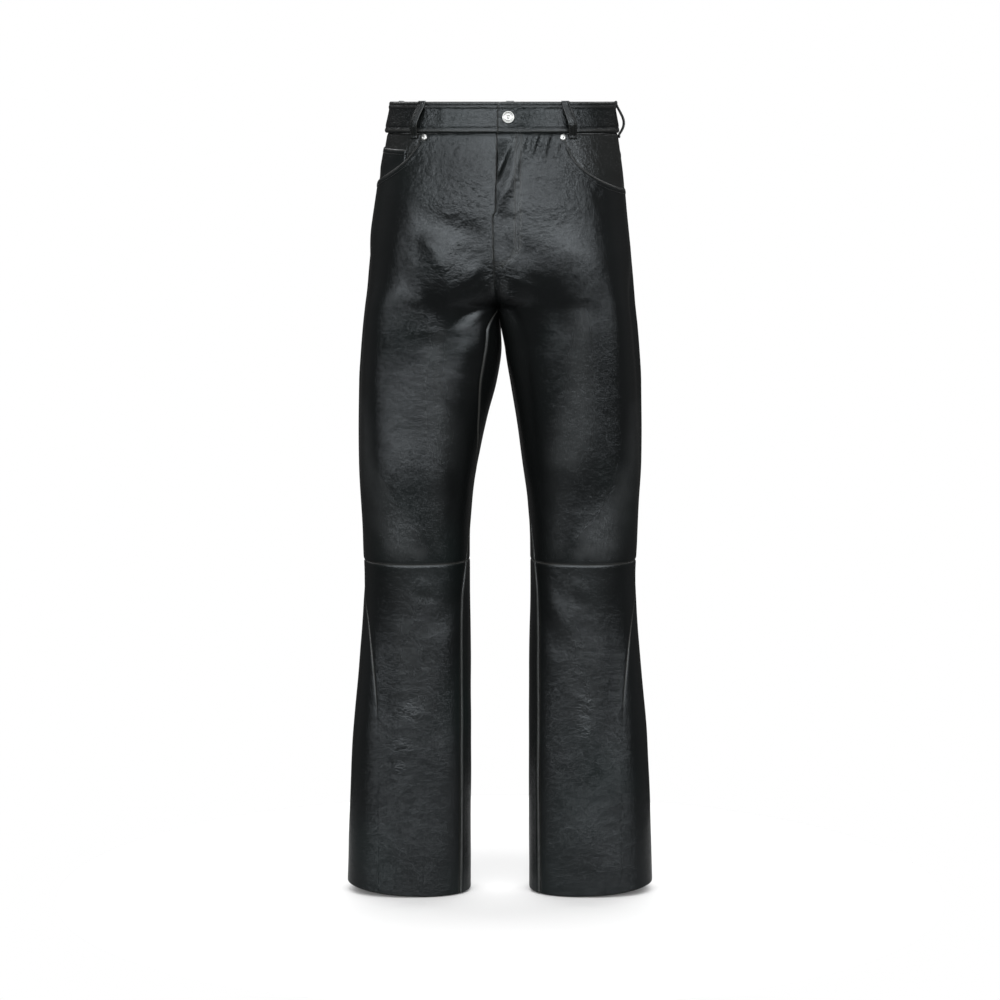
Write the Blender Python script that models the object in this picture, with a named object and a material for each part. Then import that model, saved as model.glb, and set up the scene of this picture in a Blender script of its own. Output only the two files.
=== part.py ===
"""Black leather five-pocket jeans with a cut knee, filled out and hanging from the waist.

The origin is the middle of the waistband's top edge, +Z is up and the front faces -Y, so the wearer's left
is +X. Each half is a tube from waist to hem. Its sections are round-cornered ovals from one table, and above
the crotch both halves share the plane between them, which gives the crotch its curve. A panel is the stretch
of that tube between two seams, and its wall goes inwards from there.
"""

import math
from collections import namedtuple

import bmesh
import bpy
import numpy as np
from mathutils import Matrix, Vector

MM = 0.001
SEAM = 0.3 * MM  # between two pieces that are sewn together
LEATHER = 1.6 * MM
THIN_LEATHER = 1.2 * MM
RIGHT, LEFT = -1, 1  # the wearer's side, as the sign of X
SIDE_NAMES = {LEFT: "left", RIGHT: "right"}

# Heights along the garment, from the top edge of the waistband.
WAIST_SEAM_Z = -42.5 * MM
FLY_END_Z = -152 * MM
CROTCH_Z = -278 * MM
KNEE_Z = -631 * MM
HEM_Z = -1099 * MM
HEM_TILT = 4 * MM  # the hem is this much higher at the outside and lower at the inside

# One half: millimetres from the middle plane to the outer side, to the inner side and to the oval's centre,
# the depth (Y) of its widest place, of the front and of the back, and how square it is (2 is an ellipse).
# Above the crotch the inner side is negative: the oval crosses the middle plane and ends at it.
Section = namedtuple("Section", "z outer inner centre middle front back square")
SECTIONS = (
    Section(0, 153.5, -153.5, 0, 0, -110, 108, 2.20),
    Section(-45, 159.5, -159.5, 0, 0, -114, 117, 2.22),
    Section(-100, 168.0, -168, 0, 0, -119, 129, 2.28),
    Section(-150, 174.0, -162, 4, -3, -122, 137, 2.32),
    Section(-205, 180.5, -118, 30, -12, -123, 140, 2.34),
    Section(-245, 185.3, -51, 62, -25, -120, 134, 2.32),
    Section(-262, 187.3, -23, 75, -32, -118, 129, 2.30),
    Section(-278, 189.0, 0.15, 85, -38, -115, 124, 2.28),
    Section(-310, 192.3, 1.2, 95.5, -35, -111, 114, 2.26),
    Section(-341, 194.5, 3.5, 99, -30, -107, 104, 2.25),
    Section(-383, 196.5, 10.4, 103.5, -22, -102, 93, 2.25),
    Section(-438, 196.8, 21.5, 109, -15, -96, 84, 2.25),
    Section(-494, 195.7, 31.2, 113.5, -10, -90, 75, 2.25),
    Section(-550, 193.2, 38.9, 116, -6, -82, 69, 2.25),
    Section(-606, 189.8, 41.8, 115.8, -4, -76, 65, 2.25),
    Section(-650, 187.0, 41.9, 114.5, -2, -71, 62, 2.25),
    Section(-691, 189.6, 41.7, 115.7, 0, -68, 62, 2.25),
    Section(-775, 196.5, 40.6, 118.5, 0, -65, 64, 2.25),
    Section(-889, 206.5, 40.7, 123.6, 0, -62, 66, 2.28),
    Section(-1003, 211.7, 40.8, 126.3, 0, -60, 66, 2.30),
    Section(-1104, 215.0, 41.0, 128, 0, -59, 66, 2.30),
)

# How the filled garment turns on its form: degrees about Z, millimetres sideways, and how far the gap
# between the thighs leans to the wearer's left.
Stance = namedtuple("Stance", "z turn sway lean")
STANCE = (
    Stance(0, -5.6, 3.4, 0),
    Stance(-100, -5.2, 1.5, 0),
    Stance(-160, -4.5, 0, 0),
    Stance(-278, -4.0, 0, 1),
    Stance(-341, -3.5, 0, 7),
    Stance(-383, -2.6, 0, 6.5),
    Stance(-438, -1.5, 0, 3.5),
    Stance(-530, 0, 0, 0),
    Stance(-1100, 0, 0, 0),
)

# Seams as degrees round a section: 0 is the front, 90 the outer side, 180 the back, -90 the inner side.
SeamPlace = namedtuple("SeamPlace", "z degrees")
OUTSEAM = (
    SeamPlace(0, 96),
    SeamPlace(-205, 97),
    SeamPlace(-278, 102.5),
    SeamPlace(-341, 102),
    SeamPlace(-438, 97),
    SeamPlace(-550, 93),
    SeamPlace(-640, 90),
    SeamPlace(-672, 78),
    SeamPlace(-715, 60),
    SeamPlace(-775, 45.5),
    SeamPlace(-846, 34.5),
    SeamPlace(-950, 28),
    SeamPlace(-1100, 25),
)
INSEAM = {
    RIGHT: (
        SeamPlace(-278, -90),
        SeamPlace(-292, -66),
        SeamPlace(-310, -55),
        SeamPlace(-373, -50),
        SeamPlace(-438, -61),
        SeamPlace(-490, -75),
        SeamPlace(-540, -84),
        SeamPlace(-592, -78),
        SeamPlace(-634, -67),
        SeamPlace(-684, -56.5),
        SeamPlace(-746, -54.5),
        SeamPlace(-1100, -54),
    ),
    LEFT: (
        SeamPlace(-278, -90),
        SeamPlace(-310, -84),
        SeamPlace(-490, -89),
        SeamPlace(-540, -84),
        SeamPlace(-592, -75),
        SeamPlace(-634, -64),
        SeamPlace(-684, -56.5),
        SeamPlace(-746, -54.5),
        SeamPlace(-1100, -54),
    ),
}

SIDE_DEGREES = 96  # where the outseam starts at the waist
BACK_DEGREES = 180

# Where rows of points lie on the upper and the lower panels, and how many are spread above the first.
UPPER_LEVELS = (
    -130, -158, -180, -203, -225, -245, -260, -270, -276, -278, -292, -310, -341, -373, -408, -445, -490, -540,
    -590, -631,
)
LOWER_LEVELS = (-631, -652, -684, -720, -770, -830, -900, -980, -1050, -1099)
ROWS_ABOVE = 3
FRONT_SHARES = tuple(d / SIDE_DEGREES for d in (0, 8, 16, 24, 30, 34, 37, 41, 48, 58, 69, 82, 96))
BACK_COLUMNS = 14
SETTLE_ROUNDS = 6
PROBE_DEGREES = 0.5  # the half-stride that measures how fast degrees run along a section

# The waistband: a strip that laps over itself, the wearer's left end on top.
BAND_PROUD = 1.4 * MM
BAND_THICK = 3.2 * MM
BAND_STEP = 8  # degrees
BAND_STEPS_LAPPED = 1
BAND_LAYER_GAP = 0.6 * MM
BAND_RAMP_FROM = 350  # degrees, where the under end starts to step in
FLY_EDGE_X = 4 * MM  # the upper end and the fly edge lie this far to the wearer's left of the middle

# The curved pocket mouths: degrees at the waist seam and at the outseam, the lowest height, and the power
# of the curve between (2 is a quarter ellipse).
Mouth = namedtuple("Mouth", "start end low fullness")
MOUTHS = {LEFT: Mouth(34, SIDE_DEGREES, -118.5, 2.4), RIGHT: Mouth(37, SIDE_DEGREES, -109.5, 2.05)}
FACING_UNDER = 14 * MM  # what lies in a mouth runs on this far under the front
FACING_BEFORE = 6  # degrees that a facing starts before its mouth
FACING_ROWS = (0, 0.35, 0.7, 1)
COIN_POCKET_FROM = 45  # degrees
COIN_POCKET_TOP_Z = -61.5 * MM
COIN_POCKET_SLOPE = 3.5 * MM  # its top edge is this much lower at its inner end
COIN_POCKET_UNDER = 8 * MM

# The back: the yoke's seam is lowest at the middle, and a patch pocket lies under each half of it.
YOKE_SIDE_Z = -76 * MM
YOKE_MIDDLE_Z = -108 * MM
BACK_POCKET = {
    "from_middle": 38 * MM,
    "width": 138 * MM,
    "narrows": 9 * MM,  # on each side, towards the bottom
    "top": -126 * MM,
    "slope": 9 * MM,  # the top edge is this much higher at its outer end
    "height": 118 * MM,
    "point": 20 * MM,
    "columns": 8,
    "rows": 7,
}
ON_PANEL = 0.9 * MM  # a patch lies this far off its panel, whose facets are flat

# Belt loops: degrees at their top and bottom ends, and how far each stands off the band.
Loop = namedtuple("Loop", "name top bottom stand")
LOOPS = (
    Loop("front_left", 35, 38.5, 7.4),
    Loop("front_right", -38, -41.5, 7.4),
    Loop("side_left", 98, 98, 7.8),
    Loop("side_right", -112, -112, 7.8),
    Loop("back", 180, 180, 7.4),
)
LOOP_WIDTH = 11.5 * MM
LOOP_THICK = 2.2 * MM
LOOP_TOP_Z = 1 * MM
LOOP_LOW_Z = -50 * MM
LOOP_SEWN = 0.09  # the share of its length that lies flat at each end
LOOP_BOW_LOW = 1.25  # over 1, the bow is fullest below the middle
LOOP_STEPS = 13
LOOP_PROBE = 0.01  # the share of its length over which a loop's slope is read

# Metal: a shank button through the upper end's eyelet, and a rivet at each mouth's inner corner.
BUTTON = {"degrees": 5.6, "z": -21 * MM, "radius": 8.5 * MM, "thick": 3 * MM, "stem": 4 * MM, "edge": 1 * MM}
SEATED = 0.6 * MM  # a flat plate lies this far off the curved leather under it
EYELET_CLEARANCE = 0.6 * MM
RIVET = {"radius": 4.7 * MM, "thick": 1.6 * MM, "edge": 0.5 * MM, "z": -48.2 * MM}
RIVET_DEGREES = {LEFT: 32.5, RIGHT: 34.5}
ROUND_SEGMENTS = 24

# The closed zip behind the fly.
ZIP = {
    "from": -10 * MM,
    "to": 20 * MM,
    "low": -150 * MM,
    "thick": 1.2 * MM,
    "behind": 0.7 * MM,
    "columns": 4,
    "rows": 5,
}

LEATHER_BLACK = (0.012, 0.014, 0.015, 1)
METAL_GREY = (0.42, 0.43, 0.43, 1)
TAPE_BLACK = (0.01, 0.01, 0.01, 1)


def start_empty():
    """Remove what the scene holds, and return the collection and the empty that the parts go under."""
    for obj in list(bpy.data.objects):
        bpy.data.objects.remove(obj, do_unlink=True)
    bpy.context.scene.unit_settings.system = "METRIC"
    parts = bpy.data.collections.new("leather_jeans")
    cutters = bpy.data.collections.new("cutters")
    bpy.context.scene.collection.children.link(parts)
    bpy.context.scene.collection.children.link(cutters)
    root = bpy.data.objects.new("jeans_origin", None)
    parts.objects.link(root)
    return parts, cutters, root


def material(name, colour, roughness, metallic):
    made = bpy.data.materials.new(name)
    made.use_nodes = True
    shader = made.node_tree.nodes["Principled BSDF"]
    shader.inputs["Base Color"].default_value = colour
    shader.inputs["Roughness"].default_value = roughness
    shader.inputs["Metallic"].default_value = metallic
    return made


def face_out(mesh):
    bmesh.ops.recalc_face_normals(mesh, faces=mesh.faces[:])
    if mesh.calc_volume(signed=True) < 0:
        bmesh.ops.reverse_faces(mesh, faces=mesh.faces[:])


def add_part(name, mesh, finish):
    """Make a closed bmesh the part called name, with a material of its own."""
    face_out(mesh)
    data = bpy.data.meshes.new(name)
    mesh.to_mesh(data)
    mesh.free()
    data.materials.append(material(name, *finish))
    made = bpy.data.objects.new(name, data)
    PARTS.objects.link(made)
    made.parent = ROOT
    return made


# ---- the form that the panels follow


def read(table, column, z):
    """A column of a table at heights z: a curve through its rows that doesn't overshoot them."""
    rows = sorted(table, key=lambda row: row.z)
    heights = np.array([row.z * MM for row in rows])
    values = np.array([getattr(row, column) for row in rows], float)
    lengths = np.diff(heights)
    slopes = np.diff(values) / lengths
    product, total = slopes[1:] * slopes[:-1], slopes[1:] + slopes[:-1]
    level = product <= 0
    tangents = np.where(level, 0, 2 * product / np.where(level, 1, total))
    tangents = np.concatenate([slopes[:1], tangents, slopes[-1:]])
    row = np.clip(np.searchsorted(heights, z) - 1, 0, len(lengths) - 1)
    t = np.clip((z - heights[row]) / lengths[row], 0, 1)
    rise = (3 - 2 * t) * t**2 * (values[row + 1] - values[row])
    bend = lengths[row] * (t * (1 - t) ** 2 * tangents[row] - t**2 * (1 - t) * tangents[row + 1])
    return values[row] + rise + bend


def oval(z):
    """The section's numbers at heights z, in metres, and its power."""
    outer, inner, centre = (read(SECTIONS, column, z) * MM for column in ("outer", "inner", "centre"))
    middle, front, back = (read(SECTIONS, column, z) * MM for column in ("middle", "front", "back"))
    return outer - centre, centre - inner, centre, middle, middle - front, back - middle, read(SECTIONS, "square", z)


def power(value, exponent):
    return np.sign(value) * np.abs(value) ** exponent


def stand(x, y, z, side):
    """Points of one half as the filled garment holds them: mirrored, leaned, turned and moved aside."""
    outer = read(SECTIONS, "outer", z) * MM
    x = side * x
    x = x + read(STANCE, "lean", z) * MM * np.clip(1 - np.abs(x) / outer, 0, 1)
    turn = np.radians(read(STANCE, "turn", z))
    sway = read(STANCE, "sway", z) * MM
    turned = x * np.cos(turn) - y * np.sin(turn) + sway
    return np.stack([turned, x * np.sin(turn) + y * np.cos(turn), z], axis=-1)


def form(degrees, z, depth, side):
    """Points of one half at these degrees and heights, depth inside its outer surface."""
    degrees, z = np.broadcast_arrays(np.asarray(degrees, float), np.asarray(z, float))
    outwards, inwards, centre, middle, front, back, square = oval(z)
    sine, cosine = np.sin(np.radians(degrees)), np.cos(np.radians(degrees))
    half = np.where(sine > 0, outwards, inwards)
    reach = np.where(cosine > 0, front, back)
    across, along = power(sine, 2 / square), power(cosine, 2 / square)
    normal_x = power(across, square - 1) / half
    normal_y = -power(along, square - 1) / reach
    length = np.hypot(normal_x, normal_y)
    x = centre + half * across - depth * normal_x / length
    y = middle - reach * along - depth * normal_y / length
    return stand(x, y, z, side)


def degrees_at(x, z):
    """The degrees of a half's front where it is x from the middle plane."""
    outwards, inwards, centre, _, _, _, square = oval(z)
    half = np.where(x > centre, outwards, inwards)
    return np.degrees(np.arcsin(power(np.clip((x - centre) / half, -1, 1), square / 2)))


def shifted(degrees, z, distance, strides=1):
    """Degrees moved along the section by a distance in metres."""
    for _ in range(strides):
        ahead, behind = form(degrees + PROBE_DEGREES, z, 0, LEFT), form(degrees - PROBE_DEGREES, z, 0, LEFT)
        metres_per_degree = np.linalg.norm(ahead - behind, axis=-1) / (2 * PROBE_DEGREES)
        degrees = degrees + distance / strides / metres_per_degree
    return degrees


def front_inner_edge(side, z):
    """The fly edge and front rise above the crotch, and the inseam under it."""
    edge_x = np.where(z > FLY_END_Z, side * FLY_EDGE_X + SEAM / 2, SEAM / 2)
    rise = degrees_at(edge_x, z)
    inseam = read(INSEAM[side], "degrees", z)
    return np.where(z > CROTCH_Z, rise, shifted(inseam, z, SEAM / 2))


def back_inner_edge(side, z):
    """The back rise above the crotch, and the inseam under it, coming round from the back."""
    rise = BACK_DEGREES - degrees_at(SEAM / 2, z)
    inseam = read(INSEAM[side], "degrees", z)
    return np.where(z > CROTCH_Z, rise, shifted(inseam + 360, z, -SEAM / 2))


def outseam(z, distance):
    return shifted(read(OUTSEAM, "degrees", z), z, distance)


# ---- heights of the panels' top and bottom edges


def hem(degrees):
    angle = np.radians(degrees)
    return HEM_Z + HEM_TILT * np.sin(angle)


def mouth_edge(side, degrees):
    """The height of a pocket mouth's edge, or of the waist seam in front of it."""
    mouth = MOUTHS[side]
    share = np.clip((degrees - mouth.start) / (mouth.end - mouth.start), 0, 1)
    drop = (1 - (1 - share) ** mouth.fullness) ** (1 / mouth.fullness)
    top = WAIST_SEAM_Z - SEAM
    return top + drop * (mouth.low * MM - top)


def yoke_seam(degrees):
    share = np.clip((degrees - SIDE_DEGREES) / (BACK_DEGREES - SIDE_DEGREES), 0, 1)
    return YOKE_SIDE_Z + share * (YOKE_MIDDLE_Z - YOKE_SIDE_Z)


# ---- pieces


def cloth(name, columns, rows, place, thickness, finish):
    """A closed wall: place(u, v, depth) puts the points of a grid, and then of its inner face."""
    mesh = bmesh.new()
    bmesh.ops.create_grid(mesh, x_segments=len(columns) - 1, y_segments=len(rows) - 1, size=0.5)
    wall = bmesh.ops.extrude_face_region(mesh, geom=mesh.faces[:])
    inner = {element for element in wall["geom"] if isinstance(element, bmesh.types.BMVert)}
    for depth, points in ((0, [v for v in mesh.verts if v not in inner]), (thickness, list(inner))):
        u = np.array([columns[round((v.co.x + 0.5) * (len(columns) - 1))] for v in points])
        v = np.array([rows[round((v.co.y + 0.5) * (len(rows) - 1))] for v in points])
        for point, spot in zip(points, place(u, v, depth)):
            point.co = spot
    return add_part(name, mesh, finish)


def panel_heights(row, top, levels):
    """Heights of rows: the first few spread from the top edge, the rest on fixed levels."""
    levels = np.array(levels) * MM
    share = np.clip(row / ROWS_ABOVE, 0, 1)
    fixed = np.interp(row, np.arange(len(levels)) + ROWS_ABOVE, levels)
    return np.where(row < ROWS_ABOVE, top + share * (levels[0] - top), fixed)


def settle(edges, heights, u, v):
    """Degrees and heights of a panel's points, where each edge depends on the other."""
    z = heights(np.full_like(u, 90.0), v)
    for _ in range(SETTLE_ROUNDS):
        first, last = edges(z)
        degrees = first + u * (last - first)
        z = heights(degrees, v)
    return degrees, z


def make_front_upper(side, finish):
    def edges(z):
        return front_inner_edge(side, z), outseam(z, -SEAM / 2)

    def heights(degrees, row):
        z = panel_heights(row, mouth_edge(side, degrees), UPPER_LEVELS)
        return np.where(row == len(UPPER_LEVELS) - 1 + ROWS_ABOVE, KNEE_Z + SEAM / 2, z)

    def place(u, row, depth):
        degrees, z = settle(edges, heights, u, row)
        return form(degrees, z, depth, side)

    rows = range(len(UPPER_LEVELS) + ROWS_ABOVE)
    cloth(f"front_upper_{SIDE_NAMES[side]}", FRONT_SHARES, rows, place, LEATHER, finish)


def make_back_upper(side, finish):
    def edges(z):
        return outseam(z, SEAM / 2), back_inner_edge(side, z)

    def heights(degrees, row):
        z = panel_heights(row, yoke_seam(degrees) - SEAM / 2, UPPER_LEVELS)
        return np.where(row == len(UPPER_LEVELS) - 1 + ROWS_ABOVE, KNEE_Z + SEAM / 2, z)

    def place(u, row, depth):
        degrees, z = settle(edges, heights, u, row)
        return form(degrees, z, depth, side)

    rows = range(len(UPPER_LEVELS) + ROWS_ABOVE)
    columns = np.linspace(0, 1, BACK_COLUMNS + 1)
    cloth(f"back_upper_{SIDE_NAMES[side]}", columns, rows, place, LEATHER, finish)


def make_yoke(side, finish):
    def edges(z):
        return outseam(z, SEAM / 2), back_inner_edge(side, z)

    def heights(degrees, v):
        top = WAIST_SEAM_Z - SEAM
        return top + v * (yoke_seam(degrees) + SEAM / 2 - top)

    def place(u, v, depth):
        degrees, z = settle(edges, heights, u, v)
        return form(degrees, z, depth, side)

    columns = np.linspace(0, 1, BACK_COLUMNS + 1)
    cloth(f"yoke_{SIDE_NAMES[side]}", columns, (0, 0.5, 1), place, LEATHER, finish)


def make_lower(side, is_front, finish):
    def edges(z):
        if is_front:
            return front_inner_edge(side, z), outseam(z, -SEAM / 2)
        return outseam(z, SEAM / 2), back_inner_edge(side, z)

    def heights(degrees, row):
        z = np.interp(row, np.arange(len(LOWER_LEVELS)), np.array(LOWER_LEVELS) * MM)
        z = np.where(row == 0, KNEE_Z - SEAM / 2, z)
        return np.where(row == len(LOWER_LEVELS) - 1, hem(degrees), z)

    def place(u, row, depth):
        degrees, z = settle(edges, heights, u, row)
        return form(degrees, z, depth, side)

    name = f"{'front' if is_front else 'back'}_lower_{SIDE_NAMES[side]}"
    columns = FRONT_SHARES if is_front else np.linspace(0, 1, BACK_COLUMNS + 1)
    cloth(name, columns, range(len(LOWER_LEVELS)), place, LEATHER, finish)


def in_mouth(side, u, z, depth):
    """Points under the front panel, on its own columns."""
    first, last = front_inner_edge(side, z), outseam(z, -SEAM / 2)
    return form(first + u * (last - first), z, depth, side)


def make_facing(side, deep, finish):
    """The side panel that shows in a pocket mouth."""

    def place(u, v, depth):
        degrees = u * MOUTHS[side].end
        top = WAIST_SEAM_Z - SEAM
        z = top + v * (mouth_edge(side, degrees) - FACING_UNDER - top)
        return in_mouth(side, u, z, deep + depth)

    columns = [share for share in FRONT_SHARES if share * SIDE_DEGREES >= MOUTHS[side].start - FACING_BEFORE]
    cloth(f"pocket_facing_{SIDE_NAMES[side]}", columns, FACING_ROWS, place, THIN_LEATHER, finish)


def make_coin_pocket(deep, finish):
    """The small patch in the wearer's right mouth."""

    def place(u, v, depth):
        top = COIN_POCKET_TOP_Z - COIN_POCKET_SLOPE * (1 - u) / (1 - columns[0])
        low = mouth_edge(RIGHT, u * MOUTHS[RIGHT].end) - COIN_POCKET_UNDER
        return in_mouth(RIGHT, u, top + v * (low - top), deep + depth)

    columns = [share for share in FRONT_SHARES if share * SIDE_DEGREES > COIN_POCKET_FROM]
    cloth("coin_pocket", columns, (0, 0.5, 1), place, THIN_LEATHER, finish)


def make_back_pocket(side, finish):
    size = BACK_POCKET

    def place(u, v, depth):
        top = size["top"] + size["slope"] * u
        low = top - size["height"] - size["point"] * (1 - np.abs(2 * u - 1))
        z = top + v * (low - top)
        first = size["from_middle"] + size["narrows"] * v
        distance = first + u * (size["width"] - 2 * size["narrows"] * v)
        degrees = shifted(BACK_DEGREES - degrees_at(0, z), z, -distance, strides=size["columns"])
        return form(degrees, z, depth - LEATHER - ON_PANEL, side)

    columns, rows = np.linspace(0, 1, size["columns"] + 1), np.linspace(0, 1, size["rows"] + 1)
    cloth(f"back_pocket_{SIDE_NAMES[side]}", columns, rows, place, LEATHER, finish)


def make_waistband(finish):
    """A strip from the wearer's left end, round the back, to the end that lies under it at the front."""
    first = float(degrees_at(np.array(FLY_EDGE_X), np.array(0.0)))
    steps = 360 // BAND_STEP + BAND_STEPS_LAPPED

    def place(step, v, depth):
        degrees = first + step * BAND_STEP
        under = np.clip((degrees - BAND_RAMP_FROM) / (360 + first - BAND_RAMP_FROM), 0, 1)
        inset = under * (BAND_THICK + BAND_LAYER_GAP) - BAND_PROUD
        return form(degrees, v * WAIST_SEAM_Z, depth + inset, LEFT)

    return cloth("waistband", range(steps + 1), (0, 0.5, 1), place, BAND_THICK, finish)


def make_loop(loop, finish):
    """A strap from the band's top edge, standing off it, to the panel under it."""
    off_band = BAND_PROUD + SEAM + LOOP_THICK
    off_panel = SEAM + LOOP_THICK

    def path(v):
        """Distance of the strap's outer face from the form, and its height."""
        share = np.clip((v - LOOP_SEWN) / (1 - 2 * LOOP_SEWN), 0, 1) ** LOOP_BOW_LOW
        bow = loop.stand * MM * np.sin(np.pi * share)
        return off_band + (off_panel - off_band) * v ** 4 + bow, LOOP_TOP_Z + v * (LOOP_LOW_Z - LOOP_TOP_Z)

    def place(u, v, depth):
        out, z = path(v)
        ahead, behind = path(v + LOOP_PROBE), path(v - LOOP_PROBE)
        run, rise = ahead[0] - behind[0], ahead[1] - behind[1]
        slope = np.hypot(run, rise)
        out = out + depth * rise / slope
        z = z - depth * run / slope
        degrees = shifted(loop.top + v * (loop.bottom - loop.top), z, u * LOOP_WIDTH)
        return form(degrees, z, -out, LEFT)

    rows = np.linspace(0, 1, LOOP_STEPS)
    cloth(f"belt_loop_{loop.name}", (-0.5, 0.5), rows, place, LOOP_THICK, finish)


def make_zip(finish):
    """The closed zip, tape and chain as one strip, behind the fly."""

    def place(u, v, depth):
        z = WAIST_SEAM_Z - SEAM + v * (ZIP["low"] - WAIST_SEAM_Z)
        degrees = degrees_at(ZIP["from"] + u * (ZIP["to"] - ZIP["from"]), z)
        return form(degrees, z, LEATHER + ZIP["behind"] + depth, LEFT)

    columns, rows = np.linspace(0, 1, ZIP["columns"] + 1), np.linspace(0, 1, ZIP["rows"] + 1)
    cloth("fly_zip", columns, rows, place, ZIP["thick"], finish)


def facing_out(degrees, z, out, side):
    """A matrix at a place on the form, its Z axis pointing straight out of the garment."""
    spot = form(degrees, z, -out, side)
    across = form(degrees + 1, z, -out, side) - form(degrees - 1, z, -out, side)
    upwards = form(degrees, z + MM, -out, side) - form(degrees, z - MM, -out, side)
    outwards = Vector(side * np.cross(across, upwards)).normalized()
    return Matrix.Translation(Vector(spot)) @ outwards.to_track_quat("Z", "Y").to_matrix().to_4x4()


def disc(mesh, radius, low, high, at, edge=0):
    """A round plate between two heights of its own axis, with its outer rim rounded."""
    turned = at @ Matrix.Translation((0, 0, (low + high) / 2))
    made = bmesh.ops.create_cone(
        mesh, cap_ends=True, segments=ROUND_SEGMENTS, radius1=radius, radius2=radius, depth=high - low, matrix=turned
    )
    if not edge:
        return
    into = at.inverted()
    rim = [
        e
        for e in {edge for vert in made["verts"] for edge in vert.link_edges}
        if all((into @ v.co).z > (low + high) / 2 for v in e.verts)
    ]
    bmesh.ops.bevel(
        mesh, geom=rim, offset=edge, offset_type="OFFSET", segments=2, profile=0.5, affect="EDGES", material=-1
    )


def make_button(band, finish):
    """A plain shank button: its plate on the band's upper end, its stem through an eyelet to the under end."""
    at = facing_out(BUTTON["degrees"], BUTTON["z"], BAND_PROUD, LEFT)
    plate = bmesh.new()
    disc(plate, BUTTON["radius"], SEATED, SEATED + BUTTON["thick"], at, BUTTON["edge"])
    button = add_part("waist_button", plate, finish)
    stem = bmesh.new()
    disc(stem, BUTTON["stem"], SEAM - BAND_THICK, SEATED + BUTTON["thick"] / 2, at)
    join(button, stem, "UNION")
    hole = bmesh.new()
    disc(hole, BUTTON["stem"] + EYELET_CLEARANCE, -BAND_THICK - BAND_LAYER_GAP / 2, 2 * BAND_THICK, at)
    join(band, hole, "DIFFERENCE")


def join(target, mesh, operation):
    """A Boolean on target with a closed bmesh, kept as a live modifier."""
    face_out(mesh)
    data = bpy.data.meshes.new(f"{target.name}_cutter")
    mesh.to_mesh(data)
    mesh.free()
    cutter = bpy.data.objects.new(data.name, data)
    CUTTERS.objects.link(cutter)
    cutter.hide_render = True
    cutter.display_type = "WIRE"
    modifier = target.modifiers.new(operation.lower(), "BOOLEAN")
    modifier.operation = operation
    modifier.solver = "EXACT"
    modifier.object = cutter


def make_rivet(side, finish):
    at = facing_out(RIVET_DEGREES[side], RIVET["z"], 0, side)
    plate = bmesh.new()
    disc(plate, RIVET["radius"], SEATED, SEATED + RIVET["thick"], at, RIVET["edge"])
    add_part(f"rivet_{SIDE_NAMES[side]}", plate, finish)


PARTS, CUTTERS, ROOT = start_empty()
leather = (LEATHER_BLACK, 0.38, 0.0)
metal = (METAL_GREY, 0.32, 1.0)
tape = (TAPE_BLACK, 0.8, 0.0)

for side in (LEFT, RIGHT):
    make_front_upper(side, leather)
    make_back_upper(side, leather)
    make_yoke(side, leather)
    make_lower(side, True, leather)
    make_lower(side, False, leather)
    make_back_pocket(side, leather)
    make_rivet(side, metal)

under_front = LEATHER + SEAM
make_facing(LEFT, under_front, leather)
make_coin_pocket(under_front, leather)
make_facing(RIGHT, under_front + THIN_LEATHER + SEAM, leather)
for loop in LOOPS:
    make_loop(loop, leather)
make_zip(tape)
make_button(make_waistband(leather), metal)
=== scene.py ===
import math

import bmesh
import bpy
import numpy as np
from mathutils import Matrix, Vector


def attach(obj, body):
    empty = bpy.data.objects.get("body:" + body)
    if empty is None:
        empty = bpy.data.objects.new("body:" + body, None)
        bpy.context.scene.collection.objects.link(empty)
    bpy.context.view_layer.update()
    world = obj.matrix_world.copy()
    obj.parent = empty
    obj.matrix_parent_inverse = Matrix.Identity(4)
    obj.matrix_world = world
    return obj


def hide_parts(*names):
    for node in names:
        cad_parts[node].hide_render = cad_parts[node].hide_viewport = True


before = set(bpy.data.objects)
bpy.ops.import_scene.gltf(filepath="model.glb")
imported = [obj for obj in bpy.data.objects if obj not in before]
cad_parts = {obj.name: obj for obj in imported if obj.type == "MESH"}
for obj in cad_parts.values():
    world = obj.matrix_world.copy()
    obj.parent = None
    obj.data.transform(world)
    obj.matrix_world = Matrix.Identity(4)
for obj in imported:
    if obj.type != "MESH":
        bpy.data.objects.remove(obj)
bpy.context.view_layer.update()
mm = 0.001
right, left = -1, 1  # the wearer's side, as the sign of X
sideNames = {left: "left", right: "right"}
print("frame loaded")

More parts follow.
